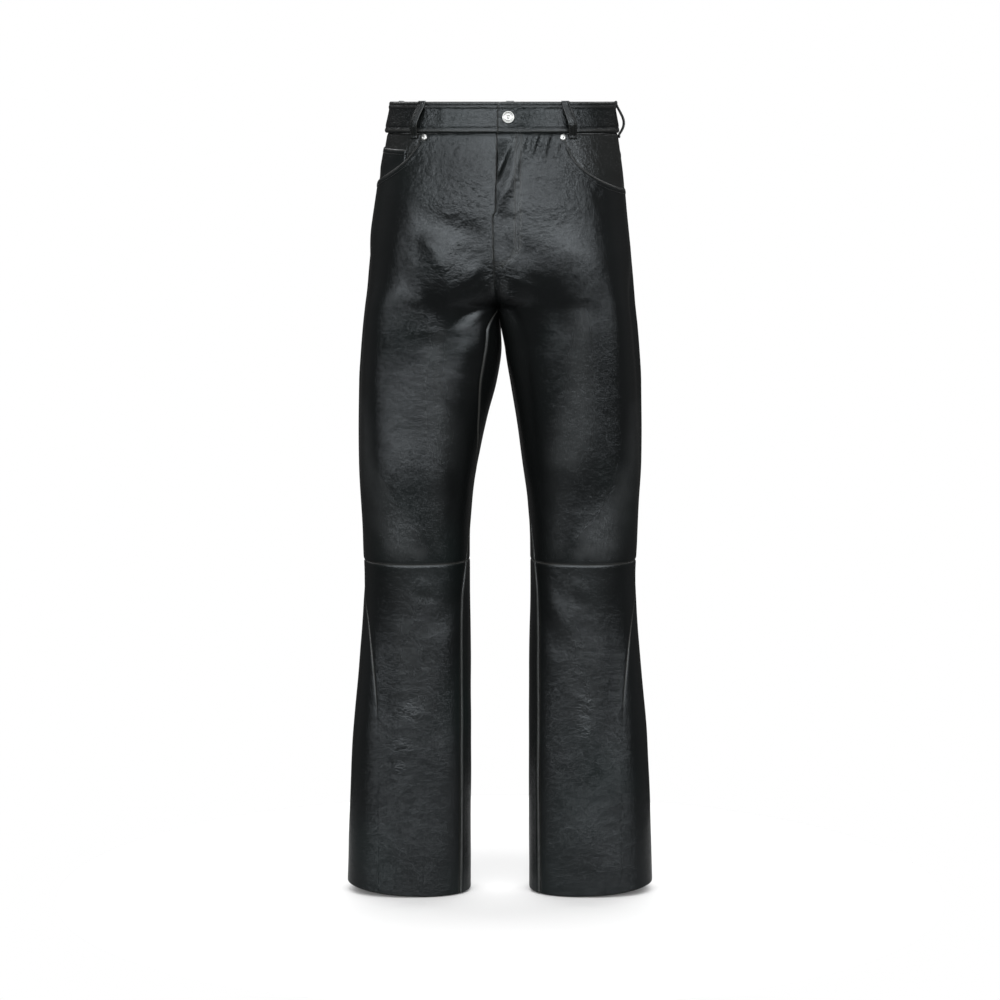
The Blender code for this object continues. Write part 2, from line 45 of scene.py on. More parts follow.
# the form of one half: mm from the middle plane, above the crotch both halves share that plane
shape = {
    # height, outer, inner, centre, depth of the widest place, front, back, squareness
    "sections": (
        (0, 153.5, -153.5, 0, 0, -110, 108, 2.20),
        (-45, 159.5, -159.5, 0, 0, -114, 117, 2.22),
        (-100, 168.0, -168, 0, 0, -119, 129, 2.28),
        (-150, 174.0, -162, 4, -3, -122, 137, 2.32),
        (-205, 180.5, -118, 30, -12, -123, 140, 2.34),
        (-245, 185.3, -51, 62, -25, -120, 134, 2.32),
        (-262, 187.3, -23, 75, -32, -118, 129, 2.30),
        (-278, 189.0, 0.15, 85, -38, -115, 124, 2.28),
        (-310, 192.3, 1.2, 95.5, -35, -111, 114, 2.26),
        (-341, 194.5, 3.5, 99, -30, -107, 104, 2.25),
        (-383, 196.5, 10.4, 103.5, -22, -102, 93, 2.25),
        (-438, 196.8, 21.5, 109, -15, -96, 84, 2.25),
        (-494, 195.7, 31.2, 113.5, -10, -90, 75, 2.25),
        (-550, 193.2, 38.9, 116, -6, -82, 69, 2.25),
        (-606, 189.8, 41.8, 115.8, -4, -76, 65, 2.25),
        (-650, 187.0, 41.9, 114.5, -2, -71, 62, 2.25),
        (-691, 189.6, 41.7, 115.7, 0, -68, 62, 2.25),
        (-775, 196.5, 40.6, 118.5, 0, -65, 64, 2.25),
        (-889, 206.5, 40.7, 123.6, 0, -62, 66, 2.28),
        (-1003, 211.7, 40.8, 126.3, 0, -60, 66, 2.30),
        (-1104, 215.0, 41.0, 128, 0, -59, 66, 2.30),
    ),
    # height, degrees of turn, sway, lean of the gap between the thighs
    "stance": (
        (0, -5.6, 3.4, 0),
        (-100, -5.2, 1.5, 0),
        (-160, -4.5, 0, 0),
        (-278, -4.0, 0, 1),
        (-341, -3.5, 0, 7),
        (-383, -2.6, 0, 6.5),
        (-438, -1.5, 0, 3.5),
        (-530, 0, 0, 0),
        (-1100, 0, 0, 0),
    ),
}

# seams as (height, degrees): 0 is the front, 90 the outer side, 180 the back
seams = {
    "out": (
        (0, 96), (-205, 97), (-278, 102.5), (-341, 102), (-438, 97), (-550, 93), (-640, 90), (-672, 78),
        (-715, 60), (-775, 45.5), (-846, 34.5), (-950, 28), (-1100, 25),
    ),
    "in": {
        right: (
            (-278, -90), (-292, -66), (-310, -55), (-373, -50), (-438, -61), (-490, -75), (-540, -84),
            (-592, -78), (-634, -67), (-684, -56.5), (-746, -54.5), (-1100, -54),
        ),
        left: (
            (-278, -90), (-310, -84), (-490, -89), (-540, -84), (-592, -75), (-634, -64), (-684, -56.5),
            (-746, -54.5), (-1100, -54),
        ),
    },
    "gap": 0.2 * mm,
    "waist": -42.5 * mm,
    "flyEnd": -150 * mm,
    "crotch": -278 * mm,
    "knee": -631 * mm,
    "hem": (-1094 * mm, 5 * mm, 3 * mm, 2 * mm),  # height, higher outside, lower in front, higher at both sides
    "flyEdge": 4 * mm,
    "sideDegrees": 96,
}
cloth = {
    "thick": 1.6 * mm, "thin": 1.2 * mm,
    # how deep and how wide an edge is rolled in: as a rule, then at single seams
    "inset": 1.3 * mm, "roll": 1.5 * mm,
    "outEdge": (1.0 * mm, 2.2 * mm), "waistEdge": (1.5 * mm, 2.2 * mm), "backEdge": (1.0 * mm, 1.4 * mm),
}


def readTable(rows, column, z):
    rows = sorted(rows)
    heights = np.array([row[0] * mm for row in rows])
    values = np.array([row[column] for row in rows], float)
    lengths = np.diff(heights)
    slopes = np.diff(values) / lengths
    product, total = slopes[1:] * slopes[:-1], slopes[1:] + slopes[:-1]
    level = product <= 0
    tangents = np.where(level, 0, 2 * product / np.where(level, 1, total))
    tangents = np.concatenate([slopes[:1], tangents, slopes[-1:]])
    row = np.clip(np.searchsorted(heights, z) - 1, 0, len(lengths) - 1)
    t = np.clip((z - heights[row]) / lengths[row], 0, 1)
    rise = (3 - 2 * t) * t**2 * (values[row + 1] - values[row])
    bend = lengths[row] * (t * (1 - t) ** 2 * tangents[row] - t**2 * (1 - t) * tangents[row + 1])
    return values[row] + rise + bend


def power(value, exponent):
    return np.sign(value) * np.abs(value) ** exponent


def ovalAt(degrees, z, depth):
    outer, inner, centre, middle, front, back = (
        readTable(shape["sections"], column, z) * mm for column in range(1, 7)
    )
    square = readTable(shape["sections"], 7, z)
    sine, cosine = np.sin(np.radians(degrees)), np.cos(np.radians(degrees))
    half = np.where(sine > 0, outer - centre, centre - inner)
    reach = np.where(cosine > 0, middle - front, back - middle)
    across, along = power(sine, 2 / square), power(cosine, 2 / square)
    normalX = power(across, square - 1) / half
    normalY = -power(along, square - 1) / reach
    length = np.hypot(normalX, normalY)
    return centre + half * across - depth * normalX / length, middle - reach * along - depth * normalY / length


def formAt(degrees, z, depth, side):
    degrees, z = np.broadcast_arrays(np.asarray(degrees, float), np.asarray(z, float))
    x, y = ovalAt(degrees, z, depth)
    x = side * x
    outer = readTable(shape["sections"], 1, z) * mm
    x = x + readTable(shape["stance"], 3, z) * mm * np.clip(1 - np.abs(x) / outer, 0, 1)
    turn = np.radians(readTable(shape["stance"], 1, z))
    sway = readTable(shape["stance"], 2, z) * mm
    turned = x * np.cos(turn) - y * np.sin(turn) + sway
    return np.stack([turned, x * np.sin(turn) + y * np.cos(turn), z], axis=-1)


def degreesAtX(x, z):
    outer, inner, centre = (readTable(shape["sections"], column, z) * mm for column in (1, 2, 3))
    square = readTable(shape["sections"], 7, z)
    half = np.where(x > centre, outer - centre, centre - inner)
    return np.degrees(np.arcsin(power(np.clip((x - centre) / half, -1, 1), square / 2)))


# lengths round each section, so that columns can be laid in millimetres
arcHeights = np.linspace(6 * mm, -1110 * mm, 280)
arcDegrees = np.arange(-140.0, 441.0)
arcX, arcY = ovalAt(*np.meshgrid(arcDegrees, arcHeights), 0)
arcLengths = np.cumsum(np.hypot(np.diff(arcX, axis=1), np.diff(arcY, axis=1)), axis=1)
arcLengths = np.pad(arcLengths, ((0, 0), (1, 0)))
arcLengths -= arcLengths[:, [140]]


def arcAt(degrees, z):
    degrees, z = np.broadcast_arrays(np.asarray(degrees, float), np.asarray(z, float))
    row = np.clip((arcHeights[0] - z) / (arcHeights[0] - arcHeights[1]), 0, len(arcHeights) - 1.001)
    column = np.clip(degrees - arcDegrees[0], 0, len(arcDegrees) - 1.001)
    i, j = row.astype(int), column.astype(int)
    f, g = row - i, column - j
    upper = arcLengths[i, j] * (1 - g) + arcLengths[i, j + 1] * g
    lower = arcLengths[i + 1, j] * (1 - g) + arcLengths[i + 1, j + 1] * g
    return upper * (1 - f) + lower * f


def degreesOf(arc, z):
    degrees = 90 * arc / arcAt(90, z)
    for _ in range(12):
        speed = (arcAt(degrees + 1, z) - arcAt(degrees - 1, z)) / 2
        degrees = degrees + np.clip((arc - arcAt(degrees, z)) / speed, -25, 25)
    return degrees


def innerFront(side, z):
    step = np.clip((z - seams["flyEnd"]) / (12 * mm) + 0.5, 0, 1)
    step = step * step * (3 - 2 * step)
    rise = degreesAtX(side * seams["flyEdge"] * step + seams["gap"] / 2, z)
    inseam = readTable(seams["in"][side], 1, z)
    return np.where(z > seams["crotch"], rise, inseam)


def innerBack(side, z):
    rise = 180 - degreesAtX(seams["gap"] / 2, z)
    return np.where(z > seams["crotch"], rise, readTable(seams["in"][side], 1, z) + 360)


def outSeam(z):
    return readTable(seams["out"], 1, z)


def outSeamOf(side, z):
    return outSeam(z)


def hemAt(degrees):
    height, tilt, dip, bow = seams["hem"]
    angle = np.radians(degrees)
    return height + tilt * np.sin(angle) - dip * np.cos(angle) - bow * np.cos(2 * angle)


yoke = {"side": -76 * mm, "middle": -108 * mm, "stitches": (2.2 * mm, 7.4 * mm)}


def yokeAt(degrees):
    share = np.clip((degrees - seams["sideDegrees"]) / (180 - seams["sideDegrees"]), 0, 1)
    return yoke["side"] + share * (yoke["middle"] - yoke["side"])


# relief, in metres out from the form

# Creases listed in mm: (points x z ..., half width, height, share of each end that fades)
frontStrokes = {
    right: (
        ((-108, -172, -90, -196, -66, -238), 9, 2.6, 0.35),
        ((-134, -166, -108, -204, -84, -246), 16, -1.6, 0.4),
        ((-128, -146, -70, -166, -8, -184), 17, -1.9, 0.3),
        ((-62, -186, -44, -206, -26, -228), 18, -2.4, 0.4),
        ((-66, -240, -50, -262, -40, -290), 14, -1.2, 0.4),
        ((-112, -312, -94, -308, -74, -315), 3.5, 0.5, 0.4),
        ((-116, -330, -92, -324, -66, -332), 14, -1.0, 0.4),
        ((-20, -288, -30, -320, -34, -352), 9, 1.4, 0.4),
        ((-40, -262, -46, -300, -50, -340), 12, -1.6, 0.4),
        ((-14, -222, -40, -246, -72, -262), 5, -0.7, 0.4),
        ((-12, -234, -34, -262, -58, -290), 5, 0.7, 0.4),
        ((-4, -238, -14, -250, -24, -258), 2.2, -0.9, 0.3), ((-3, -244, -10, -260, -14, -276), 2.0, 0.9, 0.3),
        ((-4, -232, -16, -238, -30, -240), 2.2, 0.8, 0.3), ((-3, -226, -12, -222, -24, -216), 2.4, -0.8, 0.3),
    ),
    left: (
        ((44, -176, 84, -188, 124, -204), 18, 1.2, 0.4),
        ((4, -190, 40, -206, 80, -218), 18, -1.4, 0.4),
        ((58, -236, 72, -270, 92, -330), 16, -1.2, 0.4),
        ((12, -232, 34, -244, 60, -250), 5, 0.7, 0.4),
        ((12, -246, 36, -262, 62, -280), 6, -0.8, 0.4),
        ((10, -262, 26, -290, 34, -330), 9, 1.0, 0.4),
        ((126, -114, 133, -128, 143, -146), 6, -1.2, 0.3),
        ((2, -238, 12, -250, 20, -260), 2.2, -0.9, 0.3), ((3, -246, 8, -262, 10, -278), 2.0, 0.9, 0.3),
        ((2, -230, 14, -236, 28, -238), 2.2, 0.8, 0.3),
        # the deep fold beside the fly edge, with its roll
        ((34, -30, 27, -62, 17, -94, 4, -128, 0, -150), 8, 4.6, 0.3),
        # puckers under the waistband
        ((44, -38, 38, -54, 33, -72), 3.4, -2.0, 0.25),
        ((52, -38, 45, -56, 39, -78), 3.4, 2.0, 0.25),
        ((60, -38, 53, -56, 48, -74), 3.2, -1.9, 0.25),
        ((67, -38, 61, -58, 56, -82), 3.6, 1.9, 0.25),
        ((75, -38, 69, -56, 63, -74), 3.2, -1.6, 0.25),
        ((82, -40, 77, -58, 72, -80), 3.6, 1.3, 0.25),
    ),
}
kneeStrokes = {
    right: (
        ((-120, -652, -106, -662, -90, -664), 8, 0.4, 0.4),
        ((-122, -664, -104, -676, -84, -676), 7, -0.4, 0.4),
        ((-62, -660, -74, -700, -88, -740), 14, -1.4, 0.4),
        ((-140, -828, -122, -836, -106, -848), 3.2, 0.45, 0.3),
        ((-140, -838, -124, -846, -110, -856), 3.2, -0.45, 0.3),
        ((-146, -884, -136, -886, -126, -885), 2.6, 0.3, 0.3),
        ((-146, -892, -136, -894, -126, -893), 2.6, -0.3, 0.3),
    ),
    left: (
        ((96, -650, 112, -664, 126, -678), 7, 0.5, 0.4),
        ((90, -664, 104, -678, 118, -694), 7, -0.5, 0.4),
        ((66, -664, 84, -700, 96, -736), 12, 1.2, 0.4),
        ((60, -690, 74, -730, 86, -770), 13, -1.2, 0.4),
        ((104, -812, 116, -822, 130, -826), 3.2, 0.4, 0.3),
        ((104, -832, 118, -842, 130, -846), 3.2, -0.4, 0.3),
        ((108, -856, 118, -862, 128, -864), 2.8, 0.3, 0.3),
    ),
}
backStrokes = {
    right: (
        ((-10, -236, -60, -268, -118, -276), 10, -2.2, 0.35),
        ((-14, -262, -64, -292, -126, -300), 11, 1.8, 0.4),
        ((-24, -300, -70, -322, -120, -322), 12, -1.7, 0.4),
        ((-40, -520, -90, -546, -150, -548), 12, 1.7, 0.35),
        ((-46, -546, -96, -572, -156, -568), 10, -1.9, 0.35),
        ((-50, -580, -100, -600, -150, -594), 12, 1.5, 0.35),
        ((-60, -660, -100, -676, -146, -668), 13, -1.4, 0.4),
        ((-150, -360, -128, -420, -120, -480), 16, 1.6, 0.4),
        ((-60, -360, -74, -430, -80, -490), 15, -1.4, 0.4),
    ),
    left: (
        ((8, -232, 56, -262, 116, -272), 10, -2.2, 0.35),
        ((14, -258, 62, -288, 124, -294), 11, 1.8, 0.4),
        ((26, -296, 72, -318, 124, -318), 12, -1.7, 0.4),
        ((44, -516, 92, -542, 152, -546), 12, 1.7, 0.35),
        ((48, -544, 98, -570, 154, -566), 10, -1.9, 0.35),
        ((50, -576, 100, -596, 148, -592), 12, 1.5, 0.35),
        ((64, -662, 104, -672, 150, -672), 13, -1.4, 0.4),
        ((152, -366, 130, -424, 122, -486), 16, 1.6, 0.4),
        ((62, -352, 76, -424, 82, -486), 15, -1.4, 0.4),
    ),
}
# soft hills and hollows: (x, z, half width, half height, lean in degrees, height)
legHills = (
    (122, -700, 24, 90, 0, 1.6), (72, -690, 16, 80, 0, 1.6), (154, -640, 40, 62, 16, 3.6),
    (158, -800, 18, 170, 0, -2.2), (66, -930, 24, 90, 0, 2.0), (112, -1040, 60, 60, 0, 0.8),
)
frontHills = {
    right: (
        (-60, -134, 66, 42, 0, 2.0), (-74, -450, 18, 110, -6, 1.8), (-136, -380, 30, 120, 0, -3.6),
        (-86, -540, 24, 60, 0, 1.4),
        *((-x, z, wide, high, -lean, height) for x, z, wide, high, lean, height in legHills),
    ),
    left: (
        (80, -146, 64, 42, 0, 2.6), (70, -420, 22, 110, 0, 2.4), (142, -320, 22, 90, 0, -2.0),
        (88, -540, 24, 60, 0, 1.4), *legHills,
    ),
}
backHills = {
    right: ((-76, -200, 50, 50, 0, 2.5), (-100, -740, 34, 70, 0, 2.0), (-110, -430, 30, 60, 0, 1.2)),
    left: ((78, -198, 50, 52, 0, 2.5), (102, -735, 34, 72, 0, 2.0), (108, -434, 30, 60, 0, 1.2)),
}


def smooth(t):
    t = np.clip(t, 0, 1)
    return t * t * (3 - 2 * t)


def bell(away, width):
    # 1 where away is 0, falling off on both sides
    return np.exp(-((away / width) ** 2))


# under the belly the cloth falls back onto the thigh: its top edge as (x, z), how far and over what height
shelf = {
    right: {"line": ((-150, -168), (-132, -168), (-112, -178), (-90, -206), (-66, -236), (-30, -250)), "deep": 8},
    left: {"line": ((30, -214), (60, -200), (92, -196), (120, -196), (150, -196)), "deep": 9},
    "fall": 84 * mm, "rise": 350 * mm,
}


def shelfRelief(side, x, z, fromInner, fromOuter):
    line = shelf[side]["line"]
    top = np.interp(x, [spot[0] * mm for spot in line], [spot[1] * mm for spot in line])
    drop = smooth((top - z) / shelf["fall"]) * (1 - smooth((top - shelf["fall"] - z) / shelf["rise"]))
    inside = smooth((fromInner - 26 * mm) / (34 * mm)) * smooth((fromOuter - 2 * mm) / (26 * mm))
    return -shelf[side]["deep"] * mm * drop * inside


# the sunk wedge beside the fly edge: how wide at its top, where it starts and ends, how deep
wedge = {"wide": 24 * mm, "from": -44 * mm, "to": -112 * mm, "deep": 6.4 * mm}


def wedgeRelief(fromInner, z):
    share = np.clip((wedge["from"] - z) / (wedge["from"] - wedge["to"]), 0, 1)
    inside = smooth((wedge["wide"] * (1 - share) - fromInner) / (6 * mm) + 0.5)
    return -wedge["deep"] * smooth(share / 0.62) * smooth((1 - share) / 0.3) * inside


def strokeRelief(x, z, strokes):
    total = np.zeros_like(x)
    for points, width, height, fade in strokes:
        px, pz = np.array(points[0::2]) * mm, np.array(points[1::2]) * mm
        lengths = np.hypot(np.diff(px), np.diff(pz))
        starts = np.concatenate([[0], np.cumsum(lengths)])
        best = np.full_like(x, 1.0)
        place = np.zeros_like(x)
        for i, length in enumerate(lengths):
            dx, dz = (px[i + 1] - px[i]) / length, (pz[i + 1] - pz[i]) / length
            t = np.clip((x - px[i]) * dx + (z - pz[i]) * dz, 0, length)
            away = np.hypot(x - px[i] - t * dx, z - pz[i] - t * dz)
            nearer = away < best
            best = np.where(nearer, away, best)
            place = np.where(nearer, starts[i] + t, place)
        share = place / starts[-1]
        ends = smooth(share / fade) * smooth((1 - share) / fade)
        total += height * mm * bell(best, width * mm) * ends
    return total


def hillRelief(x, z, hills):
    total = np.zeros_like(x)
    for hx, hz, wide, high, lean, height in hills:
        c, s = math.cos(math.radians(lean)), math.sin(math.radians(lean))
        dx, dz = x - hx * mm, z - hz * mm
        u, v = (dx * c + dz * s) / (wide * mm), (-dx * s + dz * c) / (high * mm)
        total += height * mm * np.exp(-(u * u + v * v))
    return total


def ripples(arc, z, seed):
    # slow unevenness that no flat panel is without
    rng = np.random.default_rng(seed)
    total = np.zeros_like(arc)
    for _ in range(14):
        wave = rng.uniform(0.03, 0.11)
        angle = rng.uniform(0, math.pi)
        phase = rng.uniform(0, 2 * math.pi)
        total += np.sin((arc * math.cos(angle) + z * math.sin(angle) * 0.6) * 2 * math.pi / wave + phase) * wave
    return total * 0.0011


def spread(near, count, bothEnds=True):
    # (metres from the start, share of the middle) for each line of a grid, crowded at its ends
    edge = near[-1]
    lines = [(d * mm, 0.0) for d in near]
    lines += [(edge * mm, s) for s in np.linspace(0, 1, count + 1)[1:-1]]
    if bothEnds:
        lines += [((2 * edge - d) * mm, 1.0) for d in reversed(near)]
    else:
        lines.append((edge * mm, 1.0))
    return np.array(lines), (2 if bothEnds else 1) * edge * mm


nearSeam = (0, 0.35, 0.8, 1.4, 2.2, 3.4, 5.2)


def measureCut(mesh):
    area = sum(face.calc_area() for face in mesh.faces)


def gridMesh(name, points, wearAndHighlight, crease, thick, grain=0, pale=0):
    # points is rows x columns x 3: the outer face of a sheet, its wall goes inwards
    rows, columns = points.shape[:2]
    mesh = bmesh.new()
    bmesh.ops.create_grid(mesh, x_segments=columns - 1, y_segments=rows - 1, size=0.5)
    mesh.verts.ensure_lookup_table()
    where = np.array([vert.co[:2] for vert in mesh.verts])
    i = np.rint((where[:, 0] + 0.5) * (columns - 1)).astype(int)
    j = np.rint((where[:, 1] + 0.5) * (rows - 1)).astype(int)
    for vert, spot in zip(mesh.verts, points[j, i]):
        vert.co = spot
    # the lighter marks ride along as attributes: edge wear with painted highlight on ridges, and painted highlight
    # patches
    for layerName, values in (("wearAndHighlight", wearAndHighlight), ("crease", crease), ("grain", grain), ("pale", pale)):
        layer = mesh.verts.layers.float.new(layerName)
        values = np.broadcast_to(values, (rows, columns))
        for vert, value in zip(mesh.verts, values[j, i]):
            vert[layer] = value
    measureCut(mesh)
    return finishMesh(name, mesh, thick)


def finishMesh(name, mesh, thick):
    for face in mesh.faces:
        face.smooth = True
    data = bpy.data.meshes.new(name)
    mesh.to_mesh(data)
    mesh.free()
    made = bpy.data.objects.new(name, data)
    bpy.context.scene.collection.objects.link(made)
    if thick:
        wall = made.modifiers.new("wall", "SOLIDIFY")
        wall.thickness = thick
        wall.offset = -1
        wall.use_rim = True
    return made


def facesOut(made, inside):
    # turn a sheet round if its faces look at a point inside the garment
    data = made.data
    middle = len(data.polygons) // 2
    face = data.polygons[middle]
    if face.normal.dot(face.center - Vector(inside(face.center))) < 0:
        data.flip_normals()


def axisOf(spot):
    # a point inside the tube at this height
    if spot.z > -0.24:
        return 0, 0.005, spot.z
    centre = readTable(shape["sections"], 3, np.array(spot.z)) * mm
    return math.copysign(float(centre), spot.x), 0, spot.z


def addPiece(made, node, material):
    made.data.materials.append(material)
    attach(made, "root")
    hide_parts(node)
    return made


def layGrid(side, first, last, top, low, across, down):
    (acrossLines, acrossEdge), (downLines, downEdge) = across, down
    a, t = acrossLines[None, :, 0], acrossLines[None, :, 1]
    b, w = downLines[:, None, 0], downLines[:, None, 1]
    degrees = np.full((len(downLines), len(acrossLines)), 90.0)
    z = top(degrees) - b - w * (top(degrees) - low(degrees) - downEdge)
    for _ in range(5):
        start, end = arcAt(first(side, z), z), arcAt(last(side, z), z)
        arc = start + a + t * (end - start - acrossEdge)
        degrees = degreesOf(arc, z)
        z = top(degrees) - b - w * (top(degrees) - low(degrees) - downEdge)
    start, end = arcAt(first(side, z), z), arcAt(last(side, z), z)
    return degrees, z, arc - start, end - arc


def rolled(away, deep=None, wide=None):
    return -(deep or cloth["inset"]) * np.exp(-((np.clip(away, 0, None) / (wide or cloth["roll"])) ** 1.6))


# front panels, waist to knee

mouths = {
    left: {"start": 34, "end": 96, "low": -118.5 * mm, "fullness": 2.4},
    right: {"start": 37, "end": 96, "low": -109.5 * mm, "fullness": 2.05},
}
pocketEdge = {"stitches": (2.2 * mm, 7.4 * mm), "band": 8.6 * mm, "raise": 0.7 * mm}
jStitch = {"lines": (30 * mm, 36.8 * mm), "top": -44 * mm, "turn": -186 * mm, "end": -216 * mm}


def mouthAt(side, degrees):
    mouth = mouths[side]
    share = np.clip((degrees - mouth["start"]) / (mouth["end"] - mouth["start"]), 0, 1)
    drop = (1 - (1 - share) ** mouth["fullness"]) ** (1 / mouth["fullness"])
    return seams["waist"] + drop * (mouth["low"] - seams["waist"])


def mouthLine(side, count=260):
    # the mouth as arc lengths and heights, evenly spaced
    mouth = mouths[side]
    turn = np.linspace(0, math.pi / 2, 1200)
    share = 1 - np.cos(turn) ** (2 / mouth["fullness"])
    degrees = mouth["start"] + share * (mouth["end"] - mouth["start"])
    z = mouthAt(side, degrees)
    arc = arcAt(degrees, z)
    along = np.concatenate([[0], np.cumsum(np.hypot(np.diff(arc), np.diff(z)))])
    even = np.linspace(0, along[-1], count)
    return np.interp(even, along, arc), np.interp(even, along, z)


def awayFrom(arc, z, lineArc, lineZ):
    best = np.full(arc.shape, 9.0)
    for a0, z0, a1, z1 in zip(lineArc[:-1], lineZ[:-1], lineArc[1:], lineZ[1:]):
        da, dz = a1 - a0, z1 - z0
        t = np.clip(((arc - a0) * da + (z - z0) * dz) / (da * da + dz * dz), 0, 1)
        best = np.minimum(best, np.hypot(arc - a0 - t * da, z - z0 - t * dz))
    return best


def jLine(offset, count=60):
    # a line of the fly's stitching, as distances from the middle plane and heights
    top, turn, end = jStitch["top"], jStitch["turn"], jStitch["end"]
    low = end + (offset - jStitch["lines"][1]) * 0.9
    angle = np.linspace(0, math.pi / 2, count)
    reach = offset - seams["flyEdge"] * 0.2
    curveX = offset - reach * (1 - np.cos(angle))
    curveZ = turn + (low - turn) * np.sin(angle)
    return np.concatenate([[offset], curveX]), np.concatenate([[top], curveZ])


def flyShare(z):
    # 1 where the fly is open, 0 where the two fronts are sewn together
    return smooth((z - seams["flyEnd"] + 6 * mm) / (14 * mm))


def flyLap(fly, fromInner):
    return fly * 0.9 * mm * smooth((42 * mm - fromInner) / (20 * mm))


def makeFrontUpper(side, material):
    level = -200 * mm
    edgeLines, edgeSum = spread(nearSeam, 92)
    columns = len(edgeLines)
    levelStart = arcAt(innerFront(side, level), level)
    levelEnd = arcAt(outSeam(level), level)
    levelArc = levelStart + edgeLines[:, 0] + edgeLines[:, 1] * (levelEnd - levelStart - edgeSum)
    sigma = (levelArc - levelStart) / (levelEnd - levelStart)
    # the top edge: along the waist seam, then down the mouth
    waist = seams["waist"]
    lineArc, lineZ = mouthLine(side)
    topStart = arcAt(innerFront(side, np.array(waist)), waist)
    startShare = (lineArc[0] - topStart) / (arcAt(seams["sideDegrees"], waist) - topStart)
    onMouth = np.clip((sigma - startShare) / (1 - startShare), 0, 1)
    mouthCount = np.linspace(0, 1, len(lineArc))
    topArc = np.where(sigma < startShare, topStart + (lineArc[0] - topStart) * sigma / startShare,
                      np.interp(onMouth, mouthCount, lineArc))
    topZ = np.where(sigma < startShare, waist, np.interp(onMouth, mouthCount, lineZ))
    topFirst = arcAt(innerFront(side, topZ), topZ)
    topSigma = (topArc - topFirst) / (arcAt(outSeam(topZ), topZ) - topFirst)
    topSigma[0], topSigma[-1] = 0, 1
    upper, _ = spread((0, 0.4, 0.9, 1.5, 2.2, 3.0, 4.0, 5.2, 6.6), 54, False)
    length = np.hypot(topZ - level, (topSigma - sigma) * (levelEnd - levelStart))
    down = (upper[:, None, 0] + upper[:, None, 1] * (length - 6.6 * mm)) / length
    upperSigma = topSigma + down * (sigma - topSigma)
    upperZ = topZ + down * (level - topZ)
    lower, lowerSum = spread(nearSeam, 168)
    lower = lower[len(nearSeam):]
    edge = nearSeam[-1] * mm
    lowerZ = level - (lower[:, 0] - edge) - lower[:, 1] * (level - seams["knee"] - lowerSum + edge)
    lowerZ = np.clip(lowerZ, seams["knee"] + seams["gap"] / 2, None)
    lowerSigma = np.repeat(sigma[None, :], len(lowerZ), 0)
    z = np.concatenate([upperZ, np.repeat(lowerZ[:, None], columns, 1)])
    share = np.concatenate([upperSigma, lowerSigma])
    start, end = arcAt(innerFront(side, z), z), arcAt(outSeam(z), z)
    # below the level the near-seam columns keep their distance from the edges
    edged = edgeLines[None, :, 0] + edgeLines[None, :, 1] * (end - start - edgeSum)
    arc = start + np.where(z < level, edged, share * (end - start))
    degrees = degreesOf(arc, z)
    flat = formAt(degrees, z, 0, side)
    x = flat[..., 0]
    fromInner, fromOuter = arc - start, end - arc
    relief = strokeRelief(x, z, frontStrokes[side] + kneeStrokes[side]) * smooth(fromInner / (6 * mm))
    relief += hillRelief(x, z, frontHills[side]) + ripples(arc, z, 3 + side)
    relief += shelfRelief(side, x, z, fromInner, fromOuter)
    toMouth = awayFrom(arc, z, lineArc, lineZ)
    # turned and double stitched pocket edge
    band = smooth((pocketEdge["band"] - toMouth) / (1.6 * mm))
    relief += pocketEdge["raise"] * band
    for line in pocketEdge["stitches"]:
        relief -= 0.45 * mm * bell(toMouth - line, 0.8 * mm)
    relief += rolled(toMouth, 0.9 * mm, 1.0 * mm)
    toWaist = seams["waist"] - z
    relief += rolled(toWaist, *cloth["waistEdge"])
    # short gathers let into the waist seam
    gathers = np.sin(arc / (6.2 * mm) + 2 * np.sin(arc / (19 * mm) + side))
    relief += 0.35 * mm * gathers * np.exp(-toWaist / (9 * mm)) * smooth(toWaist / (2 * mm))
    relief += rolled(z - seams["knee"])
    relief += rolled(fromOuter, *cloth["outEdge"])
    fly = flyShare(z)
    jDepth = np.zeros_like(x)
    if side == left:
        # the fly edge lies on the other front, with its turned edge and two lines of stitches
        relief += flyLap(fly, fromInner) + wedgeRelief(fromInner, z)
        relief += rolled(fromInner, 0.9 * mm, 1.3 * mm)
        for offset in jStitch["lines"]:
            jx, jz = jLine(offset)
            away = awayFrom(fromInner + seams["flyEdge"] * fly, z, jx, jz)
            relief -= 1.5 * mm * bell(away, 1.5 * mm) * (0.2 + 0.8 * smooth((z + 0.205) / 0.03))
            jDepth = np.maximum(jDepth, bell(away, 1.6 * mm))
    else:
        relief -= fly * 0.7 * mm * smooth((9 * mm - fromInner) / (8 * mm))
        relief += rolled(fromInner, 1.0 * mm, 1.3 * mm)
    points = formAt(degrees, z, -relief, side)
    # lighter along the knee seam, the middle edge, the outseam, the pocket mouth and the fly stitching: edge wear, with
    # painted highlight on the knee seam's ridge and along the middle edge
    wearAndHighlight = 0.55 * bell(z - seams["knee"], 1.1 * mm)
    wearAndHighlight = np.maximum(wearAndHighlight, 0.4 * bell(fromInner, 0.8 * mm))
    wearAndHighlight = np.maximum(wearAndHighlight, 0.35 * bell(fromOuter, 1.0 * mm))
    wearAndHighlight = np.maximum(wearAndHighlight, 0.45 * bell(toMouth - 0.6 * mm, 1.0 * mm))
    wearAndHighlight = np.maximum(wearAndHighlight, 0.25 * jDepth)
    crease = spotMask(x, z, creaseSpots)
    made = gridMesh(f"front_upper_{sideNames[side]}_leather", points, wearAndHighlight, crease, cloth["thick"],
                    spotMask(x, z, grainSpots), patchMask(x, z, highlightPatches[side]))
    facesOut(made, axisOf)
    return addPiece(made, f"front_upper_{sideNames[side]}", material)


